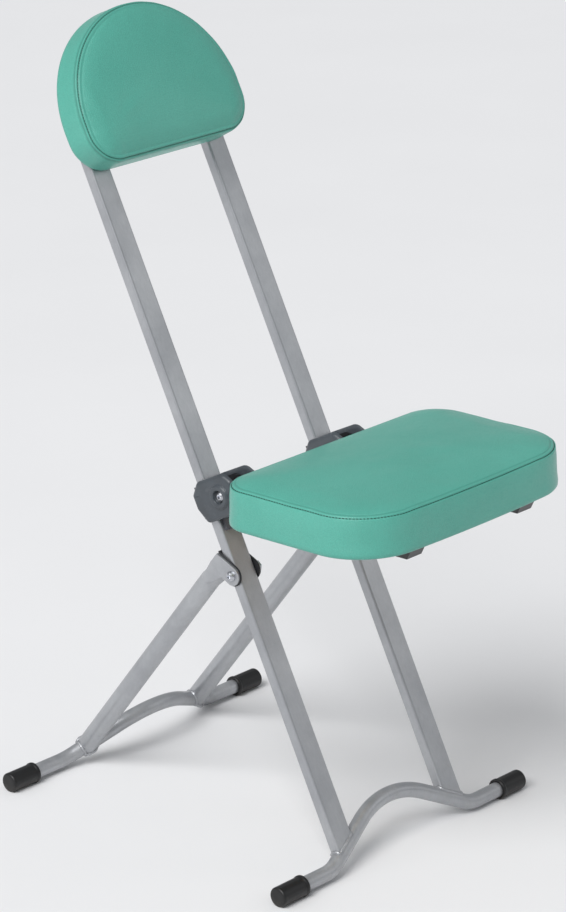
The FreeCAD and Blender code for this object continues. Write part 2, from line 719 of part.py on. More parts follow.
fork_face = f"({slot_half}+ear_wall)"
for name, side in sides.items():
    nodes.append(rail(f"rail_{name}", side))
    nodes.append(rail_plug(f"rail_plug_{name}", side))
    nodes.append(rear_leg(f"rear_leg_{name}", side))
    nodes.append(leg_fork(f"leg_fork_{name}", side))
    nodes.append(fork_liner(f"fork_liner_{name}", side))
    pivot_spot = beside(leg_place, side)
    nodes.append(dome_bolt(f"leg_pivot_bolt_{name}", pivot_spot, side, fork_face, "pivot_head",
                           "pivot_head_height", "pivot_bolt", f"{fork_face}+pivot_bolt_tail"))
    nodes.append(lock_nut(f"leg_pivot_nut_{name}", pivot_spot, side, fork_face, "pivot_nut_height",
                          "pivot_bolt"))


# ---------------------------------------------------------------- sliders
yoke_inner = "(rail_width/2+slider_gap)"
yoke_outer = f"({yoke_inner}+yoke_wall)"
yoke_back = "(rail_depth/2+slider_gap)"
cover_inner = f"({yoke_outer}+cover_fit)"
cover_outer = f"({cover_inner}+cover_cheek)"
cover_back = f"({yoke_back}+yoke_wall+cover_fit)"
seat_bolt_hole = "seat_bolt/2+bolt_clearance"
seat_bolt_seat = f"({cover_outer}+boss_height-boss_recess)"


def slider_yoke(label, side):
    """A steel saddle round the back of the rail, whose cheeks carry the seat bolt."""
    body = new_body(label, beside(slider_place, side))
    slab(body, [
        (f"{yoke_back}+yoke_wall", "-yoke_rise"),
        (f"{yoke_back}+yoke_wall", "yoke_rise"),
        ("-slider_reach+yoke_shoulder", "yoke_rise"),
        ("-slider_reach-yoke_nose", "yoke_nose_rise"),
        ("-slider_reach-yoke_nose", "-yoke_nose_rise"),
        ("-slider_reach+yoke_shoulder", "-yoke_rise"),
    ], f"-{yoke_outer}", yoke_outer)
    slab_cut(body, [
        (yoke_back, "-yoke_rise-1"),
        (yoke_back, "yoke_rise+1"),
        ("-slider_reach-yoke_nose-1", "yoke_rise+1"),
        ("-slider_reach-yoke_nose-1", "-yoke_rise-1"),
    ], f"-{yoke_inner}", yoke_inner)
    drill(body, seat_bolt_hole, f"-{yoke_outer}-1", f"{yoke_outer}+1", "-slider_reach", "0")
    return body


def slider_cover(label, side, outward):
    """Half of the moulded slider housing: a thick rounded cheek with a boss, and half the back."""
    body = new_body(label, beside(slider_place, side))
    span = turn_right(side * outward)
    outline = [
        (f"{cover_back}+cover_wall", "cover_back_rise"),
        (f"{cover_back}+cover_wall", "-cover_back_drop"),
        ("cover_heel", "-cover_drop"),
        ("-slider_reach-cover_chin", "-cover_drop"),
        ("-slider_reach-cover_nose", "cover_nose_base"),
        ("-slider_reach-cover_nose", "cover_nose_rise"),
        ("-slider_reach-cover_nose_rise", "cover_rise"),
        ("-cover_top_end", "cover_rise"),
    ]
    slab(body, outline, *span("0", cover_outer))
    # a full slot for the rail, the yoke and the seat arm
    slab_cut(body, [
        (cover_back, "-cover_drop-1"),
        (cover_back, "cover_rise+1"),
        ("-slider_reach-cover_nose-1", "cover_rise+1"),
        ("-slider_reach-cover_nose-1", "-cover_drop-1"),
    ], *span("-1", cover_inner))
    corner_spots = [value(text) for text, height in outline]
    outer_x = value(cover_outer)

    def cheek_corner(edge):
        return along_x(edge) and any(abs(edge.CenterOfMass.y - spot) < 0.2 for spot in corner_spots)

    def on_side(edge):
        return all(abs(abs(corner.X) - outer_x) < 0.01 for corner in edge.Vertexes)

    round_edges(body, "cover_corner", cheek_corner)
    round_edges(body, "cover_edge", on_side)
    rim = f"{cover_outer}+boss_height"
    disc(body, "boss_radius", *span(f"{cover_outer}-boss_height", rim), "-slider_reach", "0")
    rim_x = value(rim)
    round_edges(body, "boss_edge", lambda edge: abs(abs(edge.CenterOfMass.x) - rim_x) < 0.01)
    drill(body, "seat_bolt_head/2+boss_recess_gap", *span(seat_bolt_seat, f"{rim}+1"), "-slider_reach", "0")
    drill(body, seat_bolt_hole, *span(f"{cover_inner}-1", f"{cover_outer}+1"), "-slider_reach", "0")
    return body


for name, side in sides.items():
    nodes.append(slider_yoke(f"slider_yoke_{name}", side))
    nodes.append(slider_cover(f"slider_cover_outer_{name}", side, 1))
    nodes.append(slider_cover(f"slider_cover_inner_{name}", side, -1))
    seat_bolt_spot = beside(slider_place, side, back=-sizes["slider_reach"])
    nodes.append(dome_bolt(f"slider_bolt_{name}", seat_bolt_spot, side, seat_bolt_seat, "seat_bolt_head",
                           "seat_head_height", "seat_bolt", f"{seat_bolt_seat}+seat_head_height"))
    nodes.append(lock_nut(f"slider_nut_{name}", seat_bolt_spot, side, seat_bolt_seat, "seat_head_height",
                          "seat_bolt"))


# ---------------------------------------------------------------- seat arms, bushes and brake shoes
heel_behind_pivot = value("slider_reach-rail_depth/2-heel_depth")
up_beside_seat = seat_turn.inverted().multVec(up_rail)  # the rail's directions as the seat has them
ahead_beside_seat = seat_turn.inverted().multVec(ahead_of_rail)
heel_spot = up_beside_seat * -sizes["heel_drop"] - ahead_beside_seat * heel_behind_pivot
seat_screw_places = [
    "-pad_back-screw_first",
    "-pad_back-pad_depth/2",
    "-pad_back-pad_depth+screw_last",
]


def on_head(degrees):
    """A point on the arm's round head, up from its back."""
    turn = math.radians(degrees)
    return f"arm_head*{math.cos(turn):.4f}", f"arm_head*{math.sin(turn):.4f}"


def near_heel(back, rise):
    """A point beside the middle of the heel."""
    return f"{heel_spot.y + back:.4f}", f"{heel_spot.z + rise:.4f}"


def seat_arm(label, side):
    """A pressed channel with a closed front end, a round head at its pivot and a heel below it."""
    body = new_body(label, beside(seat_place, side))
    slab(body, [
        ("-arm_reach", "arm_top"),
        ("-arm_reach+arm_bevel", "arm_top-arm_height"),
        ("-pad_back", "arm_top-arm_height"),
        near_heel(-8, -3),
        near_heel(1, -7),
        near_heel(5, 3),
        on_head(-14.5),
        on_head(60),
        on_head(120),
        ("-arm_neck", "arm_top"),
    ], f"-{arm_half}", arm_half)
    disc(body, "arm_head", f"-{arm_half}", arm_half)
    slab_cut(body, [
        ("-arm_reach+1.5*arm_wall", "arm_top-arm_wall"),
        ("-arm_reach+1.5*arm_wall+arm_bevel", "arm_top-arm_height"),
        ("-arm_reach+1.5*arm_wall+arm_bevel", "-arm_reach"),
        ("arm_reach", "-arm_reach"),
        ("arm_reach", "arm_head+1"),
        ("-arm_neck", "arm_head+1"),
        ("-arm_neck", "arm_top-arm_wall"),
    ], f"-{arm_half}+arm_wall", f"{arm_half}-arm_wall")
    drill(body, "bush_diameter/2+bush_fit", f"-{arm_half}-1", f"{arm_half}+1")
    screws = new_sketch(body, "XY_Plane", "arm_top+1")
    for reach in seat_screw_places:
        add_circle(screws, "screw_diameter/2+screw_hole_gap", "0", reach)
    cut(body, screws, "arm_wall+2")
    return body


def arm_bush(label, side):
    """A plastic sleeve that the arm turns on."""
    body = new_body(label, beside(seat_place, side))
    disc(body, "bush_diameter/2", f"-{arm_half}-bush_end", f"{arm_half}+bush_end")
    drill(body, seat_bolt_hole, f"-{arm_half}-bush_end-1", f"{arm_half}+bush_end+1")
    return body


def brake_shoe(label, side):
    """A rubber block held in the arm's heel; it bears on the rail's front when the seat is loaded."""
    body = new_body(label, beside(seat_place, side))
    inner = f"({arm_half}-arm_wall-shoe_fit)"
    bearing = sizes["shoe_gap"] - sizes["heel_depth"]
    half = sizes["shoe_half"]
    nose = sizes["shoe_nose"]
    outline = [
        (bearing, half),
        (bearing, -half),
        (nose / 3, -0.75 * half),
        (nose, -0.125 * half),
        (nose, 0.75 * half),
        (nose / 4.5, half),
    ]
    corners = [heel_spot + ahead_beside_seat * ahead + up_beside_seat * along for ahead, along in outline]
    slab(body, [(f"{corner.y:.4f}", f"{corner.z:.4f}") for corner in corners], f"-{inner}", inner)
    round_edges(body, "shoe_round", along_x)
    return body


for name, side in sides.items():
    nodes.append(seat_arm(f"seat_arm_{name}", side))
    nodes.append(arm_bush(f"arm_bush_{name}", side))
    nodes.append(brake_shoe(f"brake_shoe_{name}", side))


# ---------------------------------------------------------------- seat board and pad
def rounded_plan(body, height, thickness, inset):
    """A plate in plan, with large front corners and smaller back corners."""
    sketch = new_sketch(body, "XY_Plane", height)
    half = f"(pad_width/2-{inset})"
    front = f"-(pad_back+pad_depth-{inset})"
    back = f"-(pad_back+{inset})"
    add_polygon(sketch, [(f"-{half}", front), (half, front), (half, back), (f"-{half}", back)])
    pad(body, sketch, thickness)
    middle = -sizes["pad_back"] - sizes["pad_depth"] / 2

    def corner_on(side):
        return lambda edge: is_upright(edge) and (edge.CenterOfMass.y - middle) * side > 0

    round_edges(body, f"pad_front_corner-{inset}", corner_on(-1))
    round_edges(body, f"pad_back_corner-{inset}", corner_on(1))


barrel_hole = "screw_diameter/2+barrel_wall+barrel_gap"


def nut_holes(board, role, face, thickness, places):
    """Holes for the tee nuts' barrels through a board, each with a seat for the flange at its face."""
    for radius, depth in ((barrel_hole, thickness), ("nut_flange/2+flange_gap", "nut_flange_wall")):
        sketch = new_sketch(board, role, f"{face}+1")
        for side in sides.values():
            for place in places:
                add_circle(sketch, radius, f"{side}*rail_spacing/2", place)
        cut(board, sketch, f"{depth}+1.1")


seat_board = new_body("seat_board", seat_place)
rounded_plan(seat_board, "arm_top", "seat_board_thickness", "skirt")
nut_holes(seat_board, "XY_Plane", "arm_top+seat_board_thickness", "seat_board_thickness", seat_screw_places)
nodes.append(seat_board)

seat_pad = new_body("seat_pad", seat_place)
rounded_plan(seat_pad, "arm_top", "pad_thickness", "0")
pad_top = value("arm_top+pad_thickness")


def on_pad_top(edge):
    return all(abs(corner.Z - pad_top) < 0.01 for corner in edge.Vertexes)


round_edges(seat_pad, "pad_edge", on_pad_top)
recess = new_sketch(seat_pad, "XY_Plane", "arm_top+seat_board_thickness+board_fit")
half_x = value("pad_width/2-skirt+board_fit")
front_y = value("-(pad_back+pad_depth-skirt+board_fit)")
back_y = value("-(pad_back+skirt-board_fit)")
plan = [Vector(0, back_y, 0), Vector(-half_x, back_y, 0), Vector(-half_x, front_y, 0),
        Vector(half_x, front_y, 0), Vector(half_x, back_y, 0), Vector(0, back_y, 0)]
front_radius = value("pad_front_corner-skirt")
back_radius = value("pad_back_corner-skirt")
add_fixed(recess, rounded_path(plan, [back_radius, front_radius, front_radius, back_radius]))
cut(seat_pad, recess, "seat_board_thickness+1")
nodes.append(seat_pad)


# ---------------------------------------------------------------- backrest board and pad
def round_top_outline(body, start, inset):
    """An outline with a straight lower edge, rounded lower corners and a half-round top."""
    half = value(f"{back_half_width}-({inset})")
    low = value(f"{back_bottom}+({inset})")
    high = value(f"{back_bottom}+back_square")
    radius = value(f"back_corner-({inset})")
    points = [Vector(-half, high, 0), Vector(-half, low, 0), Vector(half, low, 0), Vector(half, high, 0)]
    path = rounded_path(points, [radius, radius])
    crown = Part.Arc(Vector(half, high, 0), Vector(0, high + half, 0), Vector(-half, high, 0))
    sketch = new_sketch(body, "XZ_Plane", start)
    add_fixed(sketch, path + [crown])
    return sketch


back_board = new_body("backrest_board", rail_place)
pad(back_board, round_top_outline(back_board, "rail_depth/2", "skirt"), "back_board_thickness")
nut_holes(back_board, "XZ_Plane", "rail_depth/2+back_board_thickness", "back_board_thickness",
          back_screw_heights)
nodes.append(back_board)

back_pad = new_body("backrest_pad", rail_place)
pad(back_pad, round_top_outline(back_pad, "rail_depth/2+back_gap", "0"), "back_thickness")
front_face = -value("rail_depth/2+back_gap+back_thickness")


def on_back_front(edge):
    return all(abs(corner.Y - front_face) < 0.01 for corner in edge.Vertexes)


round_edges(back_pad, "pad_edge", on_back_front)
board_recess = round_top_outline(back_pad, "rail_depth/2+back_board_thickness+board_fit", "skirt-board_fit")
cut(back_pad, board_recess, "back_board_thickness+1")
nodes.append(back_pad)


# ---------------------------------------------------------------- screws, tee nuts and washers
def turned(label, place, profile, spots, direction):
    """Identical turned pieces, one solid at each spot, whose axis points along the direction."""
    solids = []
    for spot in spots:
        points = [Vector(radius, 0, along) for radius, along in profile]
        face = Part.Face(Part.makePolygon(points + points[:1]))
        solid = face.revolve(Vector(), Vector(0, 0, 1), 360)
        if solid.Volume < 0:
            solid.reverse()
        solid.Placement = Placement(spot, Rotation(Vector(0, 0, 1), direction))
        solids.append(solid)
    group = doc.addObject("Part::Feature", label)
    group.Shape = Part.makeCompound(solids)
    group.Label = label
    group.Placement = place
    return group


thread_fit = 0.01
screw_short = 1.5


def screw_profile(length):
    """Pan head below the origin, shank above it."""
    shank = sizes["screw_diameter"] / 2
    return [(0, -3.0), (2.2, -2.9), (3.8, -2.2), (4.8, 0), (shank, 0), (shank, length), (0, length)]


def tee_nut_profile(depth):
    """A barrel with a thin flange on the far side of the board."""
    bore = sizes["screw_diameter"] / 2 + thread_fit
    barrel = sizes["screw_diameter"] / 2 + sizes["barrel_wall"]
    flange = sizes["nut_flange"] / 2
    under = depth - sizes["nut_flange_wall"]
    return [(bore, 0.5), (barrel, 0.5), (barrel, under), (flange, under), (flange, depth), (bore, depth)]


seat_spots = [Vector(side * sizes["rail_spacing"] / 2, value(reach), value("arm_top-arm_wall"))
              for side in sides.values() for reach in seat_screw_places]
upward = Vector(0, 0, 1)
seat_screw = screw_profile(value("arm_wall+seat_board_thickness") - screw_short)
nodes.append(turned("seat_screws", seat_place, seat_screw, seat_spots, upward))
board_spots = [spot + upward * sizes["arm_wall"] for spot in seat_spots]
seat_nut = tee_nut_profile(sizes["seat_board_thickness"])
nodes.append(turned("seat_tee_nuts", seat_place, seat_nut, board_spots, upward))
back_spots = [Vector(side * sizes["rail_spacing"] / 2, value("rail_depth/2"), value(height))
              for side in sides.values() for height in back_screw_heights]
forward = Vector(0, -1, 0)
back_screw = screw_profile(value("rail_depth+back_board_thickness") - screw_short)
nodes.append(turned("backrest_screws", rail_place, back_screw, back_spots, forward))
front_spots = [spot + forward * sizes["rail_depth"] for spot in back_spots]
back_nut = tee_nut_profile(sizes["back_board_thickness"])
nodes.append(turned("backrest_tee_nuts", rail_place, back_nut, front_spots, forward))

washer_bore = value("bush_diameter/2+bush_gap")
washer_rim = sizes["washer_radius"]
washer_wall = sizes["washer_thickness"]
washer = [(washer_bore, 0), (washer_rim, 0), (washer_rim, washer_wall), (washer_bore, washer_wall)]
washer_face = value(f"{yoke_inner}-washer_gap")
washer_spots = []
for side in sides.values():
    for offset in (washer_face - washer_wall, -washer_face):
        across = side * sizes["rail_spacing"] / 2 + offset
        washer_spots.append(Vector(across, -sizes["slider_reach"], 0))
nodes.append(turned("arm_washers", slider_place, washer, washer_spots, Vector(1, 0, 0)))

# ---------------------------------------------------------------- check and write
doc.recompute()
for item in doc.Objects:
    for problem in ("Invalid", "Error"):
        assert problem not in item.State, f"{item.Label} is {problem}"
os.makedirs("parts", exist_ok=True)
for node in nodes:
    shape = node.Shape
    assert not shape.isNull() and shape.isValid() and shape.Volume > 0, f"{node.Label} has no good shape"
    shape.exportStep(f"parts/{node.Label}.step")
    print(f"{node.Label:28s} solids {len(shape.Solids)} volume {shape.Volume / 1000:9.2f} cm3")
print("nodes", len(nodes))
highest = value("slider_height+slider_travel+cover_rise")
print(f"the sliders' highest place is {value(back_bottom) - highest:.1f} mm below the backrest")
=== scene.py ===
import json
import math

import bpy
import numpy as np
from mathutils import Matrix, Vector


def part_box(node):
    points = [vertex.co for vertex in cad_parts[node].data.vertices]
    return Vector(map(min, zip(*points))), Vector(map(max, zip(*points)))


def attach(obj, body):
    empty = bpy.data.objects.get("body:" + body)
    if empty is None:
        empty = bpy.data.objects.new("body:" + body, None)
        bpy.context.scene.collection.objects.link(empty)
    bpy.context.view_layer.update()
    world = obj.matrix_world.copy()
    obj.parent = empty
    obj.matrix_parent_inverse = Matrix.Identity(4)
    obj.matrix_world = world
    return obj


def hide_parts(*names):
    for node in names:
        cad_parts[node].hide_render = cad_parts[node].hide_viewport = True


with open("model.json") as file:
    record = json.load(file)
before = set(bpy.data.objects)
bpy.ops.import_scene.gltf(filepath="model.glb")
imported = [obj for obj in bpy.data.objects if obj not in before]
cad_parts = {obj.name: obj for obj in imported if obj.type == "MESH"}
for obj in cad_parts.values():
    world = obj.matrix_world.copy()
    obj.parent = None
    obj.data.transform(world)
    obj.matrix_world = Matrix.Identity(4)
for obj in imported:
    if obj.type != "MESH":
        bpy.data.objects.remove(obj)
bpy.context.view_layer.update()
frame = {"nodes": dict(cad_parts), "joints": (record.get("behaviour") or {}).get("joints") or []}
scene = bpy.context.scene
scene.view_settings.view_transform = "Standard"
print("frame loaded,", len(frame["nodes"]), "nodes")

# directions and places that the other pieces are built from, all in metres
joints = {joint["name"]: joint for joint in frame["joints"]}
across = np.array([1.0, 0.0, 0.0])
railUp = np.array(joints["seat_height"]["axis"])
railFront = np.cross(across, railUp)
legPivot = np.array(joints["rear_leg_fold"]["pos_m"])
seatPivot = np.array(joints["seat_tilt"]["pos_m"])
railFoot = legPivot - railUp * legPivot[2] / railUp[2]
lean = math.atan2(railUp[1], railUp[2])
splay = math.radians(joints["rear_leg_fold"]["range_deg"][1]) - lean
legUp = np.array([0.0, -math.sin(splay), math.cos(splay)])
railLow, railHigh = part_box("rail_right")
railAcross = (railLow[0] + railHigh[0]) / 2
railHalfWidth = (railHigh[0] - railLow[0]) / 2


# small helpers
def nodePoints(node):
    mesh = frame["nodes"][node].data
    values = np.empty(len(mesh.vertices) * 3, np.float32)
    mesh.vertices.foreach_get("co", values)
    return values.reshape(-1, 3).astype(float)


def spread(node, start, direction):
    # lowest and highest place of a node along a direction
    reach = (nodePoints(node) - start) @ direction
    return float(reach.min()), float(reach.max())


def smooth(x, low, high):
    t = np.clip((x - low) / (high - low), 0.0, 1.0)
    return t * t * (3 - 2 * t)


# the seat leans back a little; its plane is the thin direction of its board
boardPoints = nodePoints("seat_board")
seatOut = np.linalg.svd(boardPoints - boardPoints.mean(0), full_matrices=False)[2][2]
seatOut = seatOut * np.sign(seatOut[2])
seatBack = np.cross(seatOut, across)


def boxMiddle(node):
    low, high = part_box(node)
    return (np.array(low) + np.array(high)) / 2


def makeObject(name, mesh):
    piece = bpy.data.objects.new(name, mesh)
    scene.collection.objects.link(piece)
    return piece


def makeMesh(name, points, faces, round=True):
    mesh = bpy.data.meshes.new(name)
    mesh.from_pydata(np.asarray(points, float).tolist(), [], [list(face) for face in faces])
    mesh.polygons.foreach_set("use_smooth", [round] * len(mesh.polygons))
    mesh.update()
    return mesh


def gridFaces(rows, columns, closeColumns=True, closeRows=False):
    # quads between neighbouring rows and columns of a grid that is stored row by row
    i = np.arange(rows if closeRows else rows - 1)[:, None]
    j = np.arange(columns if closeColumns else columns - 1)[None, :]
    nextI = (i + 1) % rows
    nextJ = (j + 1) % columns
    corners = [i * columns + j, i * columns + nextJ, nextI * columns + nextJ, nextI * columns + j]
    quads = np.stack(corners, -1)
    return quads.reshape(-1, 4)


def unit(vectors):
    return vectors / np.linalg.norm(vectors, axis=-1, keepdims=True)


def finishPiece(piece, finish, body, stands=()):
    piece.data.materials.clear()
    piece.data.materials.append(finish.material)
    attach(piece, body)
    if stands:
        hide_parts(*stands)
    return piece


def noiseWave(x, seed, waves=5):
    # a smooth wavering number from -1 to 1 along x, the sum of sines of unlike pitch
    total = np.zeros_like(x)
    for k in range(1, waves + 1):
        total += np.sin(x * (k * 1.37 + 0.61) + seed * 2.17 + k * k * 1.3) / k
    return total / 2.2


# shader nodes
class Signal:
    # a value in a material that Python's operators work on; each one adds its Math node
    def __init__(self, finish, socket):
        self.finish = finish
        self.socket = socket

    def __add__(self, other):
        return self.finish.maths("ADD", self, other)

    def __sub__(self, other):
        return self.finish.maths("SUBTRACT", self, other)

    def __rsub__(self, other):
        return self.finish.maths("SUBTRACT", other, self)

    def __mul__(self, other):
        return self.finish.maths("MULTIPLY", self, other)

    def __truediv__(self, other):
        return self.finish.maths("DIVIDE", self, other)

    def __pow__(self, other):
        return self.finish.maths("POWER", self, other)

    __radd__ = __add__
    __rmul__ = __mul__


class Finish:
    # one material and the nodes that feed its shader
    def __init__(self, name, **fixed):
        self.material = bpy.data.materials.new(name)
        self.material.use_nodes = True
        self.tree = self.material.node_tree
        self.shader = self.tree.nodes["Principled BSDF"]
        for words, number in fixed.items():
            self.shader.inputs[words.replace("_", " ")].default_value = number
        self.place = self.node("TexCoord", output="Object")

    def node(self, kind, settings=None, inputs=None, output=0):
        made = self.tree.nodes.new("ShaderNode" + kind)
        for name, choice in (settings or {}).items():
            if name == "stops":
                self.setStops(made.color_ramp, choice)
            else:
                setattr(made, name, choice)
        for name, source in (inputs or {}).items():
            self.join(made.inputs[name], source)
        return Signal(self, made.outputs[output])

    def join(self, socket, source):
        if isinstance(source, Signal):
            self.tree.links.new(source.socket, socket)
        else:
            socket.default_value = source

    def setStops(self, ramp, stops):
        while len(ramp.elements) < len(stops):
            ramp.elements.new(1.0)
        for element, (position, colour) in zip(ramp.elements, stops):
            element.position = position
            element.color = colour if len(colour) == 4 else (*colour, 1.0)

    def maths(self, operation, first, second=0.0):
        return self.node("Math", {"operation": operation}, {0: first, 1: second})

    def noise(self, scale, detail=2.0, roughness=0.5, place=None):
        inputs = {"Vector": place or self.place, "Scale": scale, "Detail": detail, "Roughness": roughness}
        return self.node("TexNoise", None, inputs)

    def cells(self, scale, feature="F1", place=None):
        return self.node("TexVoronoi", {"feature": feature}, {"Vector": place or self.place, "Scale": scale})

    def ramp(self, value, low, high):
        # 0 below low, 1 above high, straight between
        return self.node("MapRange", None, {"Value": value, "From Min": low, "From Max": high})

    def blend(self, share, first, second):
        return self.node("Mix", {"data_type": "RGBA"}, {0: share, 6: first, 7: second}, output=2)

    def stretched(self, scale):
        return self.node("Mapping", None, {"Vector": self.place, "Scale": scale})

    def height(self, value, strength, distance, below=None):
        inputs = {"Height": value, "Strength": strength, "Distance": distance}
        if below:
            inputs["Normal"] = below
        return self.node("Bump", None, inputs)

    def feed(self, **sources):
        for words, source in sources.items():
            self.join(self.shader.inputs[words.replace("_", " ")], source)


def tint(red, green, blue):
    # a screen colour from 0 to 255, as the linear colour that shaders use
    screen = np.array([red, green, blue]) / 255
    linear = np.where(screen <= 0.04045, screen / 12.92, ((screen + 0.055) / 1.055) ** 2.4)
    return (*linear.tolist(), 1.0)


# finishes
vinyl = {
    "colour": tint(88, 181, 163),
    "shade": tint(80, 173, 155),
    # painted shade: a darker green for the grain's creases and the seam grooves
    "paintedCreaseShade": tint(24, 86, 74),
    "roughness": 0.36,
    "grainPitch": 0.0016,
    "grainDepth": 0.0006,
}


def greenVinyl(name):
    made = Finish(name, Specular_IOR_Level=0.6, Coat_Weight=0.3, Coat_Roughness=0.24)
    wander = made.noise(160.0, 3.0)
    shifted = made.node("VectorMath", {"operation": "MULTIPLY_ADD"}, {
        0: wander, 1: (0.0016, 0.0016, 0.0016), 2: made.place})
    pebbles = made.ramp(made.cells(1 / vinyl["grainPitch"], "DISTANCE_TO_EDGE", shifted), 0.0, 0.26)
    fine = made.noise(2600.0, 2.0)
    cloudy = made.noise(9.0, 3.0)
    worn = made.noise(38.0, 4.0, 0.6)
    seam = made.node("Attribute", {"attribute_name": "seam"}, output="Fac")
    base = made.blend(made.ramp(cloudy, 0.3, 0.7), vinyl["colour"], vinyl["shade"])
    # painted shade: the grain's creases are darkened
    base = made.blend((1 - pebbles) * 0.22, base, vinyl["paintedCreaseShade"])
    # painted shade: darker along each seam groove
    base = made.blend(seam * 0.85, base, vinyl["paintedCreaseShade"])
    grain = made.height(pebbles * 0.8 + fine * 0.2, 0.5, vinyl["grainDepth"])
    soft = made.height(worn, 0.12, 0.0012, grain)
    rough = made.ramp(worn, 0.25, 0.75) * 0.09 + (1 - pebbles) * 0.12 + (vinyl["roughness"] - 0.05)
    made.feed(Base_Color=base, Roughness=rough, Normal=soft)
    return made


paint = {
    "colour": tint(178, 180, 183),
    "shade": tint(160, 162, 166),
    "metallic": 0.75,
    "roughness": 0.32,
}


def silverPaint(name):
    made = Finish(name, Coat_Roughness=0.12, Coat_IOR=1.45)
    flakes = made.cells(2400.0)
    ripple = made.noise(420.0, 2.0)
    cloudy = made.noise(14.0, 4.0, 0.6)
    mottle = made.noise(1.0, 4.0, 0.65, made.stretched((420.0, 150.0, 110.0)))
    scuffs = made.ramp(made.noise(1.0, 6.0, 0.75, made.stretched((60.0, 60.0, 14.0))), 0.66, 0.74)
    height = made.node("SeparateXYZ", None, {"Vector": made.place}, output="Z")
    dust = (1 - made.ramp(height, 0.0, 0.11)) * made.ramp(made.noise(70.0, 5.0, 0.7), 0.42, 0.7)
    base = made.blend(made.ramp(cloudy, 0.32, 0.68), paint["colour"], paint["shade"])
    base = made.blend(made.ramp(flakes, 0.15, 0.6) * 0.14, base, tint(214, 216, 220))
    base = made.blend(made.ramp(mottle, 0.4, 0.7) * 0.12, base, tint(126, 128, 132))
    base = made.blend(scuffs * 0.3, base, tint(120, 122, 126))
    base = made.blend(dust * 0.2, base, tint(150, 146, 138))
    rough = paint["roughness"] + cloudy * 0.05 + mottle * 0.03 + scuffs * 0.15 + dust * 0.25
    normal = made.height(ripple * 0.7 + flakes * 0.3, 0.09, 0.0002)
    made.feed(Base_Color=base, Metallic=paint["metallic"] - dust * 0.4, Roughness=rough, Normal=normal,
              Coat_Weight=0.25 - scuffs * 0.15)
    return made


def mouldedPlastic(name, colour, lighter, roughness, grainScale=900.0):
    made = Finish(name)
    spark = made.noise(grainScale, 3.0, 0.6)
    cloudy = made.noise(24.0, 4.0, 0.6)
    rubbed = made.ramp(made.noise(120.0, 6.0, 0.7), 0.6, 0.72)
    base = made.blend(made.ramp(cloudy, 0.35, 0.7), colour, lighter)
    base = made.blend(rubbed * 0.16, base, tint(150, 153, 158))
    made.feed(Base_Color=base, Roughness=roughness + cloudy * 0.1 - rubbed * 0.08,
              Normal=made.height(spark, 0.22, 0.0002))
    return made


def capRubber(name):
    made = Finish(name)
    pores = made.cells(1100.0)
    cloudy = made.noise(45.0, 4.0, 0.6)
    height = made.node("SeparateXYZ", None, {"Vector": made.place}, output="Z")
    floorDust = (1 - made.ramp(height, 0.0, 0.012)) * made.ramp(made.noise(160.0, 5.0, 0.7), 0.35, 0.7)
    base = made.blend(made.ramp(cloudy, 0.3, 0.75), tint(11, 11, 12), tint(20, 20, 21))
    base = made.blend(floorDust * 0.35, base, tint(110, 104, 96))
    made.feed(Base_Color=base, Roughness=0.34 + cloudy * 0.16 + floorDust * 0.2,
              Normal=made.height(pores * 0.4 + cloudy, 0.15, 0.0004))
    return made


def brightSteel(name):
    made = Finish(name)
    lathe = made.noise(1.0, 3.0, 0.6, made.stretched((300.0, 2600.0, 2600.0)))
    spots = made.ramp(made.noise(300.0, 5.0, 0.7), 0.6, 0.75)
    base = made.blend(made.ramp(lathe, 0.3, 0.7), tint(206, 208, 212), tint(170, 172, 178))
    base = made.blend(spots * 0.3, base, tint(120, 116, 108))
    made.feed(Base_Color=base, Metallic=0.95 - spots * 0.2, Roughness=0.2 + lathe * 0.12 + spots * 0.2,
              Normal=made.height(lathe, 0.12, 0.0001))
    return made


def enamel(name):
    made = Finish(name, Coat_Roughness=0.2)
    peel = made.noise(380.0, 2.0)
    rubbed = made.ramp(made.noise(90.0, 6.0, 0.75), 0.62, 0.72)
    base = made.blend(rubbed * 0.5, tint(27, 28, 30), tint(96, 97, 100))
    made.feed(Base_Color=base, Roughness=0.38 + rubbed * 0.2, Metallic=rubbed * 0.4,
              Coat_Weight=0.3 - rubbed * 0.2, Normal=made.height(peel, 0.1, 0.0003))
    return made


def plyBoard(name):
    made = Finish(name)
    growth = made.noise(1.0, 5.0, 0.62, made.stretched((18.0, 260.0, 260.0)))
    grainPlace = made.stretched((3.0, 26.0, 26.0))
    rings = made.node("TexWave", {"wave_type": "BANDS", "bands_direction": "Y"}, {
        "Vector": grainPlace, "Scale": 1.0, "Distortion": 9.0, "Detail": 3.0}, output="Fac")
    pores = made.ramp(made.noise(1.0, 4.0, 0.7, made.stretched((90.0, 1500.0, 1500.0))), 0.6, 0.72)
    base = made.blend(made.ramp(growth, 0.3, 0.7), tint(214, 184, 142), tint(190, 154, 110))
    base = made.blend(rings * 0.35, base, tint(168, 128, 84))
    base = made.blend(pores * 0.5, base, tint(120, 88, 58))
    normal = made.height(growth - pores * 0.5, 0.2, 0.0005)
    made.feed(Base_Color=base, Roughness=0.62 + growth * 0.2, Normal=normal)
    return made


def sewingThread(name):
    made = Finish(name)
    along = made.node("UVMap", {"uv_map": "threadMap"})
    twist = made.node("TexWave", {"wave_type": "BANDS", "bands_direction": "DIAGONAL"}, {
        "Vector": along, "Scale": 2.4, "Distortion": 0.6}, output="Fac")
    base = made.blend(twist, tint(8, 42, 36), tint(20, 66, 57))
    made.feed(Base_Color=base, Roughness=0.55 + twist * 0.15, Normal=made.height(twist, 0.4, 0.0001))
    return made


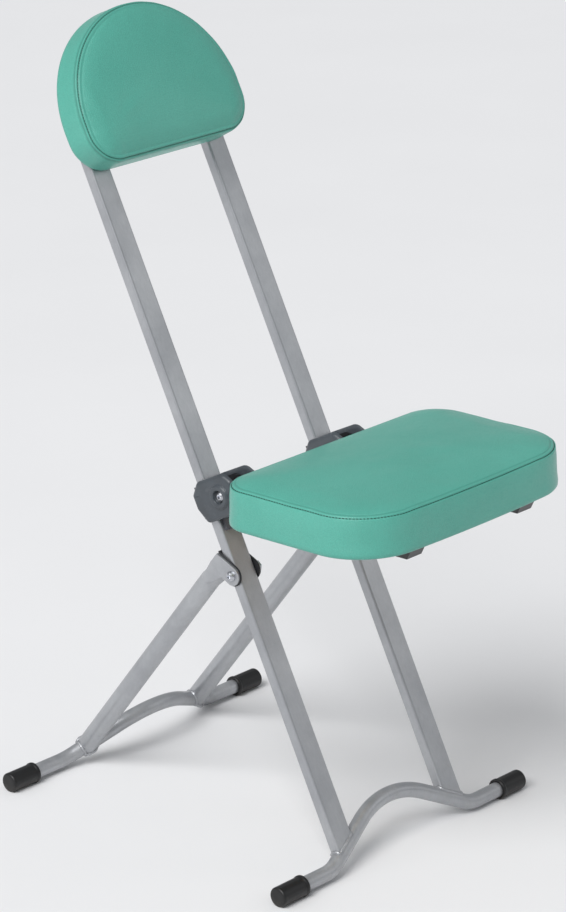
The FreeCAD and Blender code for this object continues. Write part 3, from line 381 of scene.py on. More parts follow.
finishes = {
    "silver_paint": silverPaint("silverPaint"),
    "green_vinyl": greenVinyl("greenVinyl"),
    "black_rubber": capRubber("blackRubber"),
    "grey_rubber": mouldedPlastic("greyRubber", tint(62, 64, 68), tint(78, 80, 85), 0.62, 500.0),
    "charcoal_plastic": mouldedPlastic("charcoalPlastic", tint(62, 67, 72), tint(72, 78, 84), 0.27),
    "black_plastic": mouldedPlastic("blackPlastic", tint(26, 27, 29), tint(38, 39, 42), 0.42),
    "pale_nylon": mouldedPlastic("paleNylon", tint(222, 220, 210), tint(206, 203, 192), 0.45),
    "black_paint": enamel("blackEnamel"),
    "zinc_steel": brightSteel("zincSteel"),
    "plywood": plyBoard("plywood"),
}
threadFinish = sewingThread("greenThread")
for node in frame["nodes"].values():
    for holder in node.material_slots:
        holder.material = finishes[holder.material.name.split(".")[0]].material
print("finishes made,", len(bpy.data.materials), "materials")


# cushions
shortestRun = 1e-5


def roundedRectangle(halfWidth, low, high, lowRadius, highRadius, pitch):
    # points and outward normals round a rectangle whose corners are arcs, from the middle of the low
    # edge anticlockwise: each stretch is a line or an arc, divided at the pitch
    corners = [
        (halfWidth - lowRadius, low + lowRadius, lowRadius, -90),
        (halfWidth - highRadius, high - highRadius, highRadius, 0),
        (-halfWidth + highRadius, high - highRadius, highRadius, 90),
        (-halfWidth + lowRadius, low + lowRadius, lowRadius, 180),
    ]
    points = [np.array([[0.0, low]])]
    normals = [np.array([[0.0, -1.0]])]
    for x, y, radius, first in corners:
        count = max(int(radius * math.pi / 2 / pitch), 6)
        turn = np.radians(np.linspace(first, first + 90, count + 1))
        arc = np.stack([np.cos(turn), np.sin(turn)], -1)
        start = np.array([x, y]) + arc[0] * radius
        run = start - points[-1][-1]
        # where two arcs meet there is no run, and no second point
        steps = max(int(np.linalg.norm(run) / pitch), 1) if np.linalg.norm(run) > shortestRun else 0
        share = np.linspace(0, 1, steps + 1)[1:, None]
        points += [points[-1][-1] + run * share, np.array([x, y]) + arc[1:] * radius]
        normals += [np.repeat(arc[:1], steps, 0), arc[1:]]
    run = points[0][0] - points[-1][-1]
    steps = max(int(np.linalg.norm(run) / pitch), 2)
    points.append(points[-1][-1] + run * np.linspace(0, 1, steps + 1)[1:-1, None])
    normals.append(np.repeat(normals[-1][-1:], steps - 1, 0))
    return np.concatenate(points), np.concatenate(normals)


def seatWarp(plan):
    # bows the front edge: points move back by the square of their distance from the middle line,
    # fading out towards the back edge
    share = np.clip((seatCushion["back"] - plan[..., 1]) / seatCushion["depth"], 0, 1)
    offset = seatCushion["bow"] * (plan[..., 0] / seatCushion["halfWidth"]) ** 2 * share ** 2
    return np.stack([plan[..., 0], plan[..., 1] + offset], -1)


def backWarp(plan):
    # narrows the pad a little towards its lower edge, with the square of the drop from its widest place
    drop = np.clip(backCushion["square"] - plan[..., 1], 0, None) / backCushion["square"]
    return np.stack([plan[..., 0] * (1 - backCushion["taper"] * drop ** 2), plan[..., 1]], -1)


def cushionRows(outline, normals, rows, warp, middle):
    # each row is the outline moved inwards by an inset, or the last inset row shrunk towards the middle;
    # returns plan places and heights, one line per row
    plans = []
    heights = []
    for inset, share, height in rows:
        plan = outline - normals * inset
        plan = middle + (plan - middle) * share
        plans.append(warp(plan))
        heights.append(np.full(len(plan), height))
    return np.array(plans), np.array(heights)


def profileRows(pad, fine):
    # the section of the cover from under the board, out and up the band, over the seam and the crown
    seamUp = pad["seamHeight"]
    seamIn = pad["seamInset"]
    band = np.linspace(0.0, 1.0, 15 if fine else 7)
    rows = [(pad["wrap"], 1.0, -pad["wrapThickness"]), (pad["wrap"] * 0.6, 1.0, -pad["wrapThickness"])]
    rows += [(0.0045, 1.0, -pad["wrapThickness"]), (0.002, 1.0, 0.0002), (0.0006, 1.0, 0.0018)]
    for share in band[1:-1]:
        bulge = pad["bandPull"] * math.sin(math.pi * share)
        rows.append((bulge + seamIn * 0.55 * share ** 4, 1.0, 0.003 + (seamUp - 0.0055) * share))
    turn = np.linspace(0.0, 1.0, 11 if fine else 5)
    for share in turn:  # over the seam, a quarter ellipse from the band to the panel
        angle = share * math.pi / 2
        inset = seamIn * 0.55 + (seamIn * 2.2) * (1 - math.cos(angle))
        rows.append((inset, 1.0, seamUp - 0.0025 + pad["shoulder"] * math.sin(angle)))
    topStart = rows[-1]
    panel = np.linspace(0.0, 1.0, 14 if fine else 6)[1:]
    for share in panel:
        share = share ** 1.5
        inset = topStart[0] + (pad["panelInset"] - topStart[0]) * share
        rows.append((inset, 1.0, topStart[2] + pad["crown"] * pad["pillow"] * (1 - (1 - share) ** 2.4)))
    shrink = np.linspace(1.0, 0.0, 14 if fine else 7)[1:-1]
    for share in shrink:
        rise = pad["crown"] * (pad["pillow"] + (1 - pad["pillow"]) * (1 - share ** 2))
        rows.append((pad["panelInset"], share, topStart[2] + rise))
    return rows


def closedShape(points, middleLow, middleHigh):
    # a grid of rows closed with a point at each end
    rows, columns = points.shape[:2]
    faces = gridFaces(rows, columns).tolist()
    low = rows * columns
    for j in range(columns):
        faces.append([j, low, (j + 1) % columns])
        top = (rows - 1) * columns
        faces.append([top + j, top + (j + 1) % columns, low + 1])
    allPoints = np.concatenate([points.reshape(-1, 3), [middleLow], [middleHigh]])
    return allPoints, faces


def toFrame(pad, plan, height):
    # plan place and height over the board, turned into a point in the frame
    points = plan[..., :1] * pad["side"] + plan[..., 1:] * pad["along"] + height[..., None] * pad["out"]
    return points + pad["origin"]


def vertexArray(mesh, what="co"):
    source = mesh.vertices if what == "co" else mesh.vertex_normals
    values = np.empty(len(mesh.vertices) * 3, np.float32)
    source.foreach_get("co" if what == "co" else "vector", values)
    return values.reshape(-1, 3).astype(float)


def settledMesh(piece):
    graph = bpy.context.evaluated_depsgraph_get()
    return bpy.data.meshes.new_from_object(piece.evaluated_get(graph))


def swell(pad, start):
    # cloth simulation: the start shape is remeshed and blown up, held at the board and along the seam
    remesh = start.modifiers.new("remesh", "REMESH")
    remesh.mode = "VOXEL"
    remesh.voxel_size = pad["voxel"]
    body = makeObject(pad["name"] + "_swelling", settledMesh(start))
    before = vertexArray(body.data)
    local = before - pad["origin"]
    height = local @ pad["out"]
    held = 1 - smooth(height, 0.002, 0.010)
    nearSeam = np.exp(-((height - pad["seamHeight"]) / 0.004) ** 2)
    onPanel = smooth(height, pad["seamHeight"] + 0.001, pad["seamHeight"] + 0.004)
    pins = np.clip(held + nearSeam * pad["seamHold"] * (1 - onPanel), 0, 1)
    group = body.vertex_groups.new(name="held")
    for level in np.unique(np.round(pins, 1)):
        if level > 0:
            chosen = np.flatnonzero(np.abs(np.round(pins, 1) - level) < 0.01)
            group.add(chosen.tolist(), float(level), "REPLACE")
    cloth = body.modifiers.new("cloth", "CLOTH")
    cloth.settings.quality = 6
    cloth.settings.mass = 0.3
    cloth.settings.tension_stiffness = pad["stiffness"]
    cloth.settings.compression_stiffness = pad["stiffness"]
    cloth.settings.bending_stiffness = pad["bending"]
    cloth.settings.use_pressure = True
    cloth.settings.uniform_pressure_force = pad["pressure"]
    cloth.settings.vertex_group_mass = "held"
    cloth.settings.effector_weights.gravity = 0.0
    cloth.collision_settings.use_collision = False
    cloth.point_cache.frame_start = 1
    cloth.point_cache.frame_end = 20
    for step in range(1, cloth.point_cache.frame_end + 1):
        scene.frame_set(step)
    shape = settledMesh(body)
    body.modifiers.clear()
    after = vertexArray(shape)
    move = after - before
    length = np.linalg.norm(move, axis=1, keepdims=True)
    capped = pad["cap"] * np.tanh(length / pad["cap"])
    swollenPoints = before + move * capped / np.maximum(length, 1e-9)
    shape.vertices.foreach_set("co", swollenPoints.astype(np.float32).ravel())
    body.data = shape
    even = body.modifiers.new("even", "SMOOTH")
    even.factor = 0.5
    even.iterations = 3
    refine = body.modifiers.new("refine", "SUBSURF")
    refine.levels = refine.render_levels = 1
    swollen = makeObject(pad["name"] + "_swollen", settledMesh(body))
    bpy.data.objects.remove(body)
    scene.frame_set(1)
    print("  ", pad["name"], "swelled by up to", round(float(capped.max() * 1000), 1), "mm")
    return swollen


def seamGroovesAndShade(pad, rows, points, normals, lengths):
    # pushes the cover in along each line of sewing, and puckers it softly on both sides; also returns a
    # painted shade for each groove, strongest at its middle
    heights = np.array([height for inset, share, height in rows])
    insets = np.array([inset for inset, share, height in rows])
    grooveShades = np.zeros(points.shape[:2])
    pushed = points.copy()
    profile = np.concatenate([[0.0], np.cumsum(np.hypot(np.diff(insets), np.diff(heights)))])
    for line in pad["lines"]:
        row = int(np.argmin(np.hypot(insets - line["inset"], heights - line["height"])))
        away = profile - profile[row]
        groove = np.exp(-(away / line["width"]) ** 2)
        lips = np.exp(-((np.abs(away) - 2.4 * line["width"]) / (1.5 * line["width"])) ** 2)
        pucker = np.exp(-(np.abs(away) / 0.011) ** 1.4) * smooth(np.abs(away), 0.0008, 0.004)
        wave = noiseWave(lengths / pad["puckerPitch"] * 2 * math.pi, line["seed"])
        fade = 0.45 + 0.55 * noiseWave(lengths * 31.0, line["seed"] + 3.0) ** 2
        shift = -line["depth"] * groove[:, None] + line["lip"] * lips[:, None]
        shift = shift + line["pucker"] * pucker[:, None] * (wave * fade)[None, :]
        pushed += normals * shift[..., None]
        # painted shade in the groove, as strong as the line's share
        grooveShades = np.maximum(grooveShades, groove[:, None] * line["grooveShade"])
        line["row"] = row
    return pushed, grooveShades


def softFolds(pad, plan, height):
    # shallow folds that fan out from places where the cover is drawn round a corner
    shift = np.zeros(height.shape)
    above = smooth(height, 0.004, 0.016)
    for x, y, reach, count, depth, seed in pad["folds"]:
        away = np.hypot(plan[..., 0] - x, plan[..., 1] - y)
        turn = np.arctan2(plan[..., 1] - y, plan[..., 0] - x)
        fade = np.exp(-((away - reach) / (0.42 * reach)) ** 2)
        fan = 0.6 * np.sin(turn * count + seed) + 0.4 * np.sin(turn * (count + 3) + seed * 2 + away * 60)
        shift += depth * fade * above * fan
    return shift


def stapleRow(pad, plan):
    # flat wire staples that hold the turned-in margin to the board, one for each pitch round it
    ring = plan[1] * 0.5 + plan[2] * 0.5
    path = np.concatenate([ring, ring[:1]])
    reach = np.concatenate([[0.0], np.cumsum(np.linalg.norm(np.diff(path, axis=0), axis=1))])
    count = int(reach[-1] / pad["staplePitch"])
    at = (np.arange(count) + 0.5) * reach[-1] / count
    place = np.stack([np.interp(at, reach, path[:, k]) for k in range(2)], -1)
    ahead = unit(np.stack([np.interp(at + 0.001, reach, path[:, k]) for k in range(2)], -1) - place)
    besideArm = np.abs(np.abs(place[:, 0]) - railAcross) > pad["armHalf"] + 0.010
    clear = besideArm | (place[:, 1] > pad["armEnd"])
    place = place[clear]
    ahead = ahead[clear]
    tilt = 0.16 * noiseWave(at[clear] * 90.0, 2.0)
    ahead = ahead + np.stack([-ahead[:, 1], ahead[:, 0]], -1) * tilt[:, None]
    sideways = np.stack([-ahead[:, 1], ahead[:, 0]], -1)
    length = np.array([-1.0, -0.94, 0.94, 1.0]) * 0.005
    rise = np.array([0.4, -0.6, -0.6, 0.4]) * 0.001
    corners = []
    for along, lift in zip(length, rise):
        for across2, up in ((-1, 0), (1, 0), (1, 1), (-1, 1)):
            flat = place + ahead * along + sideways * across2 * 0.0006
            above = -pad["wrapThickness"] + lift - 0.0001 + up * 0.0006
            corners.append(toFrame(pad, flat, np.full(len(flat), above)))
    points = np.stack(corners, 1)
    quads = np.array(gridFaces(4, 4)).reshape(-1, 4)
    ends = np.array([[3, 2, 1, 0], [12, 13, 14, 15]])
    shape = np.concatenate([quads, ends])
    faces = (shape[None] + np.arange(len(points))[:, None, None] * 16).reshape(-1, 4)
    name = pad["name"] + "_staples"
    piece = makeObject(name, makeMesh(name, points.reshape(-1, 3), faces, False))
    finishPiece(piece, finishes["zinc_steel"], pad["body"])


def buildCushion(pad):
    outline, outward = pad["outline"](pad, pad["pitch"])
    rows = profileRows(pad, True)
    plan, height = cushionRows(outline, outward, rows, pad["warp"], pad["middle"])
    # under the board the cover lies flat, and goes up into the board where an arm or a rail crosses it
    nearArm = 1 - smooth(np.abs(np.abs(plan[..., 0]) - railAcross), pad["armHalf"], pad["armHalf"] + 0.004)
    nearArm = nearArm * (plan[..., 1] < pad["armEnd"])
    under = height < 0
    height = np.where(under, height + nearArm * (pad["wrapThickness"] + 0.0006), height)
    points = toFrame(pad, plan, height)
    centre = np.array([pad["middle"]])
    lowMiddle = toFrame(pad, centre, np.array([0.001]))[0]
    highMiddle = toFrame(pad, centre, np.array([rows[-1][2]]))[0]
    # one more ring inside the board closes the cover below
    inside = toFrame(pad, plan[0], np.full(plan.shape[1], 0.001))
    points = np.concatenate([inside[None], points])
    allPoints, faces = closedShape(points, lowMiddle, highMiddle)
    piece = makeObject(pad["name"], makeMesh(pad["name"], allPoints, faces))
    if pad["pressure"]:
        coarseOutline, coarseOutward = pad["outline"](pad, 0.008)
        coarse = profileRows(pad, False)[2:]
        coarsePlan, coarseHeight = cushionRows(
            coarseOutline, coarseOutward, coarse, pad["warp"], pad["middle"])
        startPoints, startFaces = closedShape(
            toFrame(pad, coarsePlan, np.maximum(coarseHeight, 0.0)), lowMiddle, highMiddle)
        startName = pad["name"] + "_start"
        start = makeObject(startName, makeMesh(startName, startPoints, startFaces))
        swollen = swell(pad, start)
        bpy.data.objects.remove(start)
        wrap = piece.modifiers.new("wrap", "SHRINKWRAP")
        wrap.target = swollen
        wrap.wrap_method = "PROJECT"
        wrap.use_negative_direction = True
        wrap.use_positive_direction = True
        wrap.project_limit = pad["cap"] * 1.6
        wrapped = vertexArray(settledMesh(piece))
        piece.modifiers.clear()
        bpy.data.objects.remove(swollen)
        above = (allPoints - pad["origin"]) @ pad["out"]
        facing = vertexArray(piece.data, "normal")
        swelling = np.einsum("ni,ni->n", wrapped - allPoints, facing) * smooth(above, 0.004, 0.014)
        # evened over neighbouring rows and columns, so that only swellings wider than the remesh stay
        field = swelling[:-2].reshape(len(rows) + 1, -1)
        for step in range(pad["evenSteps"]):
            field = field * 0.5 + (np.roll(field, 1, 1) + np.roll(field, -1, 1)) * 0.25
            if step % 3 == 0:
                padded = np.concatenate([field[:1], field, field[-1:]])
                field = padded[1:-1] * 0.5 + (padded[:-2] + padded[2:]) * 0.25
        middleShift = field[-1].mean()
        swelling = np.concatenate([field.ravel(), [0.0, middleShift]])
        allPoints = allPoints + facing * swelling[:, None]
        piece.data.vertices.foreach_set("co", allPoints.astype(np.float32).ravel())
        piece.data.update()
    normals = vertexArray(piece.data, "normal")
    columns = plan.shape[1]
    grid = allPoints[:-2].reshape(-1, columns, 3)[1:]
    gridNormals = normals[:-2].reshape(-1, columns, 3)[1:]
    edge = grid[len(profileRows(pad, True)) // 3]
    lengths = np.concatenate([[0.0], np.cumsum(np.linalg.norm(np.diff(edge, axis=0), axis=1))])
    pushed, grooveShades = seamGroovesAndShade(pad, rows, grid, gridNormals, lengths)
    pushed += gridNormals * softFolds(pad, plan, height)[..., None]
    allPoints = np.concatenate([allPoints[:columns], pushed.reshape(-1, 3), allPoints[-2:]])
    piece.data.vertices.foreach_set("co", allPoints.astype(np.float32).ravel())
    # painted shade of the seam grooves, kept on the points for the vinyl
    seam = np.concatenate([np.zeros(columns), grooveShades.ravel(), [0.0, 0.0]])
    piece.data.attributes.new("seam", "FLOAT", "POINT").data.foreach_set("value", seam.astype(np.float32))
    piece.data.update()
    finishPiece(piece, finishes["green_vinyl"], pad["body"], [pad["node"]])
    sewLines(pad, pushed, gridNormals)
    stapleRow(pad, plan)
    print("  ", pad["name"], len(piece.data.polygons), "faces")
    return piece


def sewLines(pad, grid, normals):
    # stitches along each line: a short capsule every pitch, resampled by length round the closed row
    spots = []
    frames = []
    for line in pad["lines"]:
        if not line["stitch"]:
            continue
        path = np.concatenate([grid[line["row"]], grid[line["row"]][:1]])
        facing = np.concatenate([normals[line["row"]], normals[line["row"]][:1]])
        reach = np.concatenate([[0.0], np.cumsum(np.linalg.norm(np.diff(path, axis=0), axis=1))])
        count = int(reach[-1] / line["stitch"])
        at = (np.arange(count) + 0.5) * reach[-1] / count
        place = np.stack([np.interp(at, reach, path[:, k]) for k in range(3)], -1)
        ahead = np.stack([np.interp(at + 0.0008, reach, path[:, k]) for k in range(3)], -1)
        out = unit(np.stack([np.interp(at, reach, facing[:, k]) for k in range(3)], -1))
        forward = unit(ahead - place)
        spots.append(place + out * line["lift"])
        frames.append(np.stack([forward, np.cross(out, forward), out], -1))
    if not spots:
        return
    spots = np.concatenate(spots)
    frames = np.concatenate(frames)
    # capsule: rings of a half-width that swells and closes along its length
    rings = np.array([-1.0, -0.86, -0.5, 0.0, 0.5, 0.86, 1.0])
    girth = np.array([0.15, 0.6, 0.95, 1.0, 0.95, 0.6, 0.15])
    turn = np.radians(np.arange(6) * 60)
    shape = np.zeros((7, 6, 3))
    shape[..., 0] = rings[:, None] * pad["stitchLength"] / 2
    shape[..., 1] = girth[:, None] * np.cos(turn)[None] * pad["threadRadius"]
    endDip = 0.00035  # how far the stitch's ends go down into the cover
    shape[..., 2] = girth[:, None] * np.sin(turn)[None] * pad["threadRadius"]
    shape[..., 2] -= (rings[:, None] ** 2) * endDip
    shape = shape.reshape(-1, 3)
    points = spots[:, None] + np.einsum("nij,mj->nmi", frames, shape)
    faces = gridFaces(7, 6).tolist() + [[5, 4, 3, 2, 1, 0], [36, 37, 38, 39, 40, 41]]
    quads = np.array(faces[:-2])
    caps = np.array(faces[-2:])
    offsets = np.arange(len(spots))[:, None, None] * len(shape)
    everyFace = (quads[None] + offsets).reshape(-1, 4).tolist()
    everyFace += (caps[None] + offsets).reshape(-1, 6).tolist()
    mesh = makeMesh(pad["name"] + "_stitches", points.reshape(-1, 3), [[0, 1, 2]])
    mesh.clear_geometry()
    mesh.from_pydata(points.reshape(-1, 3).tolist(), [], everyFace)
    mesh.polygons.foreach_set("use_smooth", [True] * len(mesh.polygons))
    uv = mesh.uv_layers.new(name="threadMap")
    corner = np.empty(len(mesh.loops), np.int32)
    mesh.loops.foreach_get("vertex_index", corner)
    inStitch = corner % len(shape)
    uvs = np.stack([(inStitch // 6) / 2.0, (inStitch % 6) / 6.0], -1)
    uv.data.foreach_set("uv", uvs.astype(np.float32).ravel())
    mesh.update()
    finishPiece(makeObject(pad["name"] + "_stitches", mesh), threadFinish, pad["body"])


def seatOutline(pad, pitch):
    low = pad["back"] - pad["depth"]
    return roundedRectangle(pad["halfWidth"], low, pad["back"], pad["frontRadius"], pad["backRadius"], pitch)


def backOutline(pad, pitch):
    # straight lower edge and rounded corners below a half ellipse, as wide as the pad
    high = pad["square"]
    width = pad["halfWidth"]
    rise = pad["height"] - high
    points, normals = roundedRectangle(width, 0.0, high + width, pad["cornerRadius"], width - 1e-6, pitch)
    above = points[:, 1] > high
    points[:, 1] = np.where(above, high + (points[:, 1] - high) * rise / width, points[:, 1])
    normals[:, 1] = np.where(above, normals[:, 1] * width / rise, normals[:, 1])
    return points, unit(normals)


seatHalf = spread("seat_pad", seatPivot, across)[1]
seatFront, seatRear = spread("seat_pad", seatPivot, seatBack)
seatBottom = spread("seat_pad", seatPivot, seatOut)[0]
seatCushion = {
    "name": "seat_cushion",
    "node": "seat_pad",
    "body": "seat",
    "outline": seatOutline,
    "warp": seatWarp,
    "origin": seatPivot + seatOut * seatBottom,
    "side": across,
    "along": seatBack,
    "out": seatOut,
    "middle": np.array([0.0, (seatFront + seatRear) / 2]),
    "halfWidth": seatHalf - 0.0005,
    "back": seatRear - 0.0005,
    "depth": seatRear - seatFront - 0.001,
    "frontRadius": 0.076,
    "backRadius": 0.046,
    "bow": 0.008,
    "pitch": 0.0022,
    "seamHeight": 0.0495,
    "seamInset": 0.0030,
    "shoulder": 0.0036,
    "crown": 0.0075,
    "pillow": 0.72,
    "panelInset": 0.040,
    "bandPull": 0.0012,
    "wrap": 0.026,
    "wrapThickness": 0.0009,
    "armHalf": 0.0135,
    "armEnd": 9.0,
    "voxel": 0.005,
    "evenSteps": 24,
    "pressure": 4.0,
    "stiffness": 30.0,
    "bending": 2.0,
    "seamHold": 0.8,
    "cap": 0.008,
    "fill": 0.85,
    "puckerPitch": 0.0105,
    "staplePitch": 0.019,
    "folds": [
        (-0.118, seatFront + 0.076, 0.084, 9, 0.0003, 1.0),
        (0.118, seatFront + 0.076, 0.084, 8, 0.0003, 5.0)],
    "stitchLength": 0.0029,
    "threadRadius": 0.00058,
    # each line's groove shade is how strongly its groove is painted darker
    "lines": [
        {"inset": 0.0034, "height": 0.0498, "width": 0.0010, "depth": 0.0009, "lip": 0.0004,
         "pucker": 0.00022, "grooveShade": 0.14, "seed": 1.0, "stitch": 0.0040, "lift": 0.0005},
        {"inset": 0.0090, "height": 0.0518, "width": 0.0007, "depth": 0.0004, "lip": 0.0002,
         "pucker": 0.00012, "grooveShade": 0.35, "seed": 4.0, "stitch": 0.0, "lift": 0.0},
    ],
}

# the pad's lower edge along the rail, its half width, and the board's back face in front of the rail axis
backStart, backEnd = spread("backrest_pad", railFoot, railUp)
backHalf = spread("backrest_pad", railFoot, across)[1]
backFace = spread("backrest_board", railFoot, railFront)[0]
railEnd = spread("rail_left", railFoot, railUp)[1]
backCushion = {
    "name": "backrest_cushion",
    "node": "backrest_pad",
    "body": "front_frame",
    "outline": backOutline,
    "warp": backWarp,
    "origin": railFoot + railUp * backStart + railFront * backFace,
    "side": across,
    "along": railUp,
    "out": railFront,
    "middle": np.array([0.0, 0.078]),
    "halfWidth": backHalf + 0.002,
    "square": 0.056,
    "height": backEnd - backStart - 0.0005,
    "cornerRadius": 0.041,
    "taper": 0.030,
    "pitch": 0.0020,
    "seamHeight": 0.0385,
    "seamInset": 0.0034,
    "shoulder": 0.0034,
    "crown": 0.0085,
    "pillow": 0.74,
    "panelInset": 0.030,
    "bandPull": 0.0010,
    "wrap": 0.024,
    "wrapThickness": 0.0009,
    "armHalf": 0.0165,
    "armEnd": railEnd - backStart + 0.004,
    "voxel": 0.0045,
    "evenSteps": 24,
    "pressure": 4.0,
    "stiffness": 30.0,
    "bending": 2.0,
    "seamHold": 0.8,
    "cap": 0.007,
    "fill": 0.85,
    "puckerPitch": 0.0095,
    "staplePitch": 0.018,
    "folds": [(-0.094, 0.041, 0.044, 9, 0.0004, 3.0), (0.094, 0.041, 0.044, 8, 0.0002, 8.0)],
    "stitchLength": 0.0026,
    "threadRadius": 0.00042,
    "lines": [
        {"inset": 0.0040, "height": 0.0390, "width": 0.0009, "depth": 0.0011, "lip": 0.0005,
         "pucker": 0.00025, "grooveShade": 0.8, "seed": 2.0, "stitch": 0.0036, "lift": 0.0002},
        {"inset": 0.0012, "height": 0.0325, "width": 0.0007, "depth": 0.0005, "lip": 0.0004,
         "pucker": 0.00018, "grooveShade": 0.55, "seed": 7.0, "stitch": 0.0, "lift": 0.0},
    ],
}
print("cushions")
buildCushion(seatCushion)
buildCushion(backCushion)


# foot caps
cap = {
    "bevel": 0.0026,
    "lip": 0.0009,
    "lipLength": 0.0046,
    "flats": 14,
    "flatDepth": 0.00022,
    "tubeRadius": 0.0094,
}


def footCap(node, body):
    low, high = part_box(node)
    side = 1.0 if low[0] + high[0] > 0 else -1.0
    radius = (high[1] - low[1]) / 2
    end = max(abs(low[0]), abs(high[0]))
    length = high[0] - low[0]
    arc = np.radians(np.linspace(0, 90, 6))
    bevel = cap["bevel"]
    mouth = length - cap["lipLength"]
    bulge = radius + cap["lip"]
    # distance from the closed end, and radius, from the outer middle round to the inner middle
    profile = [(0.0003, 0.3 * radius), (0.0, radius - bevel - 0.0012), (0.0001, radius - bevel - 0.0004)]
    profile += [(bevel * (1 - math.cos(a)) + 0.0001, radius - bevel + bevel * math.sin(a)) for a in arc[1:]]
    profile += [(x, radius) for x in np.linspace(bevel + 0.0012, mouth - 0.0012, 12)]
    profile += [(mouth - 0.0003, radius + 0.0001), (mouth + 0.0003, bulge - 0.0003), (mouth + 0.0009, bulge)]
    profile += [(length - 0.0012, bulge), (length - 0.0003, bulge - 0.0004), (length, bulge - 0.0012)]
    profile += [(length, cap["tubeRadius"] + 0.0006), (length - 0.0005, cap["tubeRadius"])]
    profile += [(x, cap["tubeRadius"]) for x in np.linspace(length - 0.004, 0.0042, 4)]
    profile = np.array(profile)
    turn = np.radians(np.arange(56) * 360 / 56)
    flat = cap["flatDepth"] * (1 - np.abs(np.cos(turn * cap["flats"] / 2)))
    onSide = smooth(profile[:, 0], 0.003, 0.008) * (1 - smooth(profile[:, 0], mouth - 0.004, mouth - 0.001))
    reach = profile[:, 1:] - onSide[:, None] * flat[None, :]
    x = side * (end - profile[:, 0])[:, None] + np.zeros_like(reach)
    middle = boxMiddle(node)
    y = middle[1] + reach * np.cos(turn)[None, :] * side
    z = np.maximum(high[2] - radius + reach * np.sin(turn)[None, :], low[2])
    centreZ = high[2] - radius
    points, faces = closedShape(
        np.stack([x, y, z], -1), (side * (end - 0.0003), middle[1], centreZ),
        (side * (end - 0.0042), middle[1], centreZ))
    piece = makeObject(node + "_moulded", makeMesh(node + "_moulded", points, faces))
    finishPiece(piece, finishes["black_rubber"], body, [node])


for side in ("left", "right"):
    footCap("front_cap_" + side, "front_frame")
    footCap("rear_cap_" + side, "rear_frame")
print("foot caps")


# slider housings: a domed cheek with a boss on each side of a rail, and half of the back
housing = {
    "corners": [(-0.01295, 0.012, 0.005), (-0.01295, -0.006, 0.007), (-0.003, -0.026, 0.006),
                (0.0427, -0.026, 0.006), (0.0587, 0.002, 0.006), (0.0587, 0.014, 0.008),
                (0.0487, 0.0255, 0.012), (0.001, 0.0255, 0.008)],
    "edge": 0.0056,
    "dome": 0.0012,
    "bossRadius": 0.0137,
    "bossEdge": 0.0011,
    "bossRise": 0.0010,
    "recess": 0.0082,
    "recessDepth": 0.0066,
}


def roundedPolygon(corners, pitch):
    # points round a convex outline whose corners are arcs tangent to both sides, given anticlockwise
    places = np.array([corner[:2] for corner in corners])
    points = []
    normals = []
    for k, (x, y, radius) in enumerate(corners):
        here = np.array([x, y])
        before = unit(here - places[k - 1])
        after = unit(places[(k + 1) % len(places)] - here)
        bend = math.acos(np.clip(before @ after, -1, 1))
        reach = radius * math.tan(bend / 2)
        start = here - before * reach
        outward = np.array([before[1], -before[0]])
        centre = start - outward * radius
        steps = max(int(bend * radius / pitch), 4)
        first = math.atan2(outward[1], outward[0])
        turn = first + np.linspace(0, bend, steps + 1)
        arc = np.stack([np.cos(turn), np.sin(turn)], -1)
        points.append(centre + arc * radius)
        normals.append(arc)
        nextX, nextY, nextRadius = corners[(k + 1) % len(corners)]
        following = np.array([nextX, nextY])
        later = unit(places[(k + 2) % len(places)] - following)
        nextBend = math.acos(np.clip(after @ later, -1, 1))
        stop = following - after * nextRadius * math.tan(nextBend / 2)
        run = stop - points[-1][-1]
        count = max(int(np.linalg.norm(run) / pitch), 1)
        points.append(points[-1][-1] + run * np.linspace(0, 1, count + 1)[1:-1, None])
        normals.append(np.repeat(arc[-1:], count - 1, 0))
    return np.concatenate(points), np.concatenate(normals)


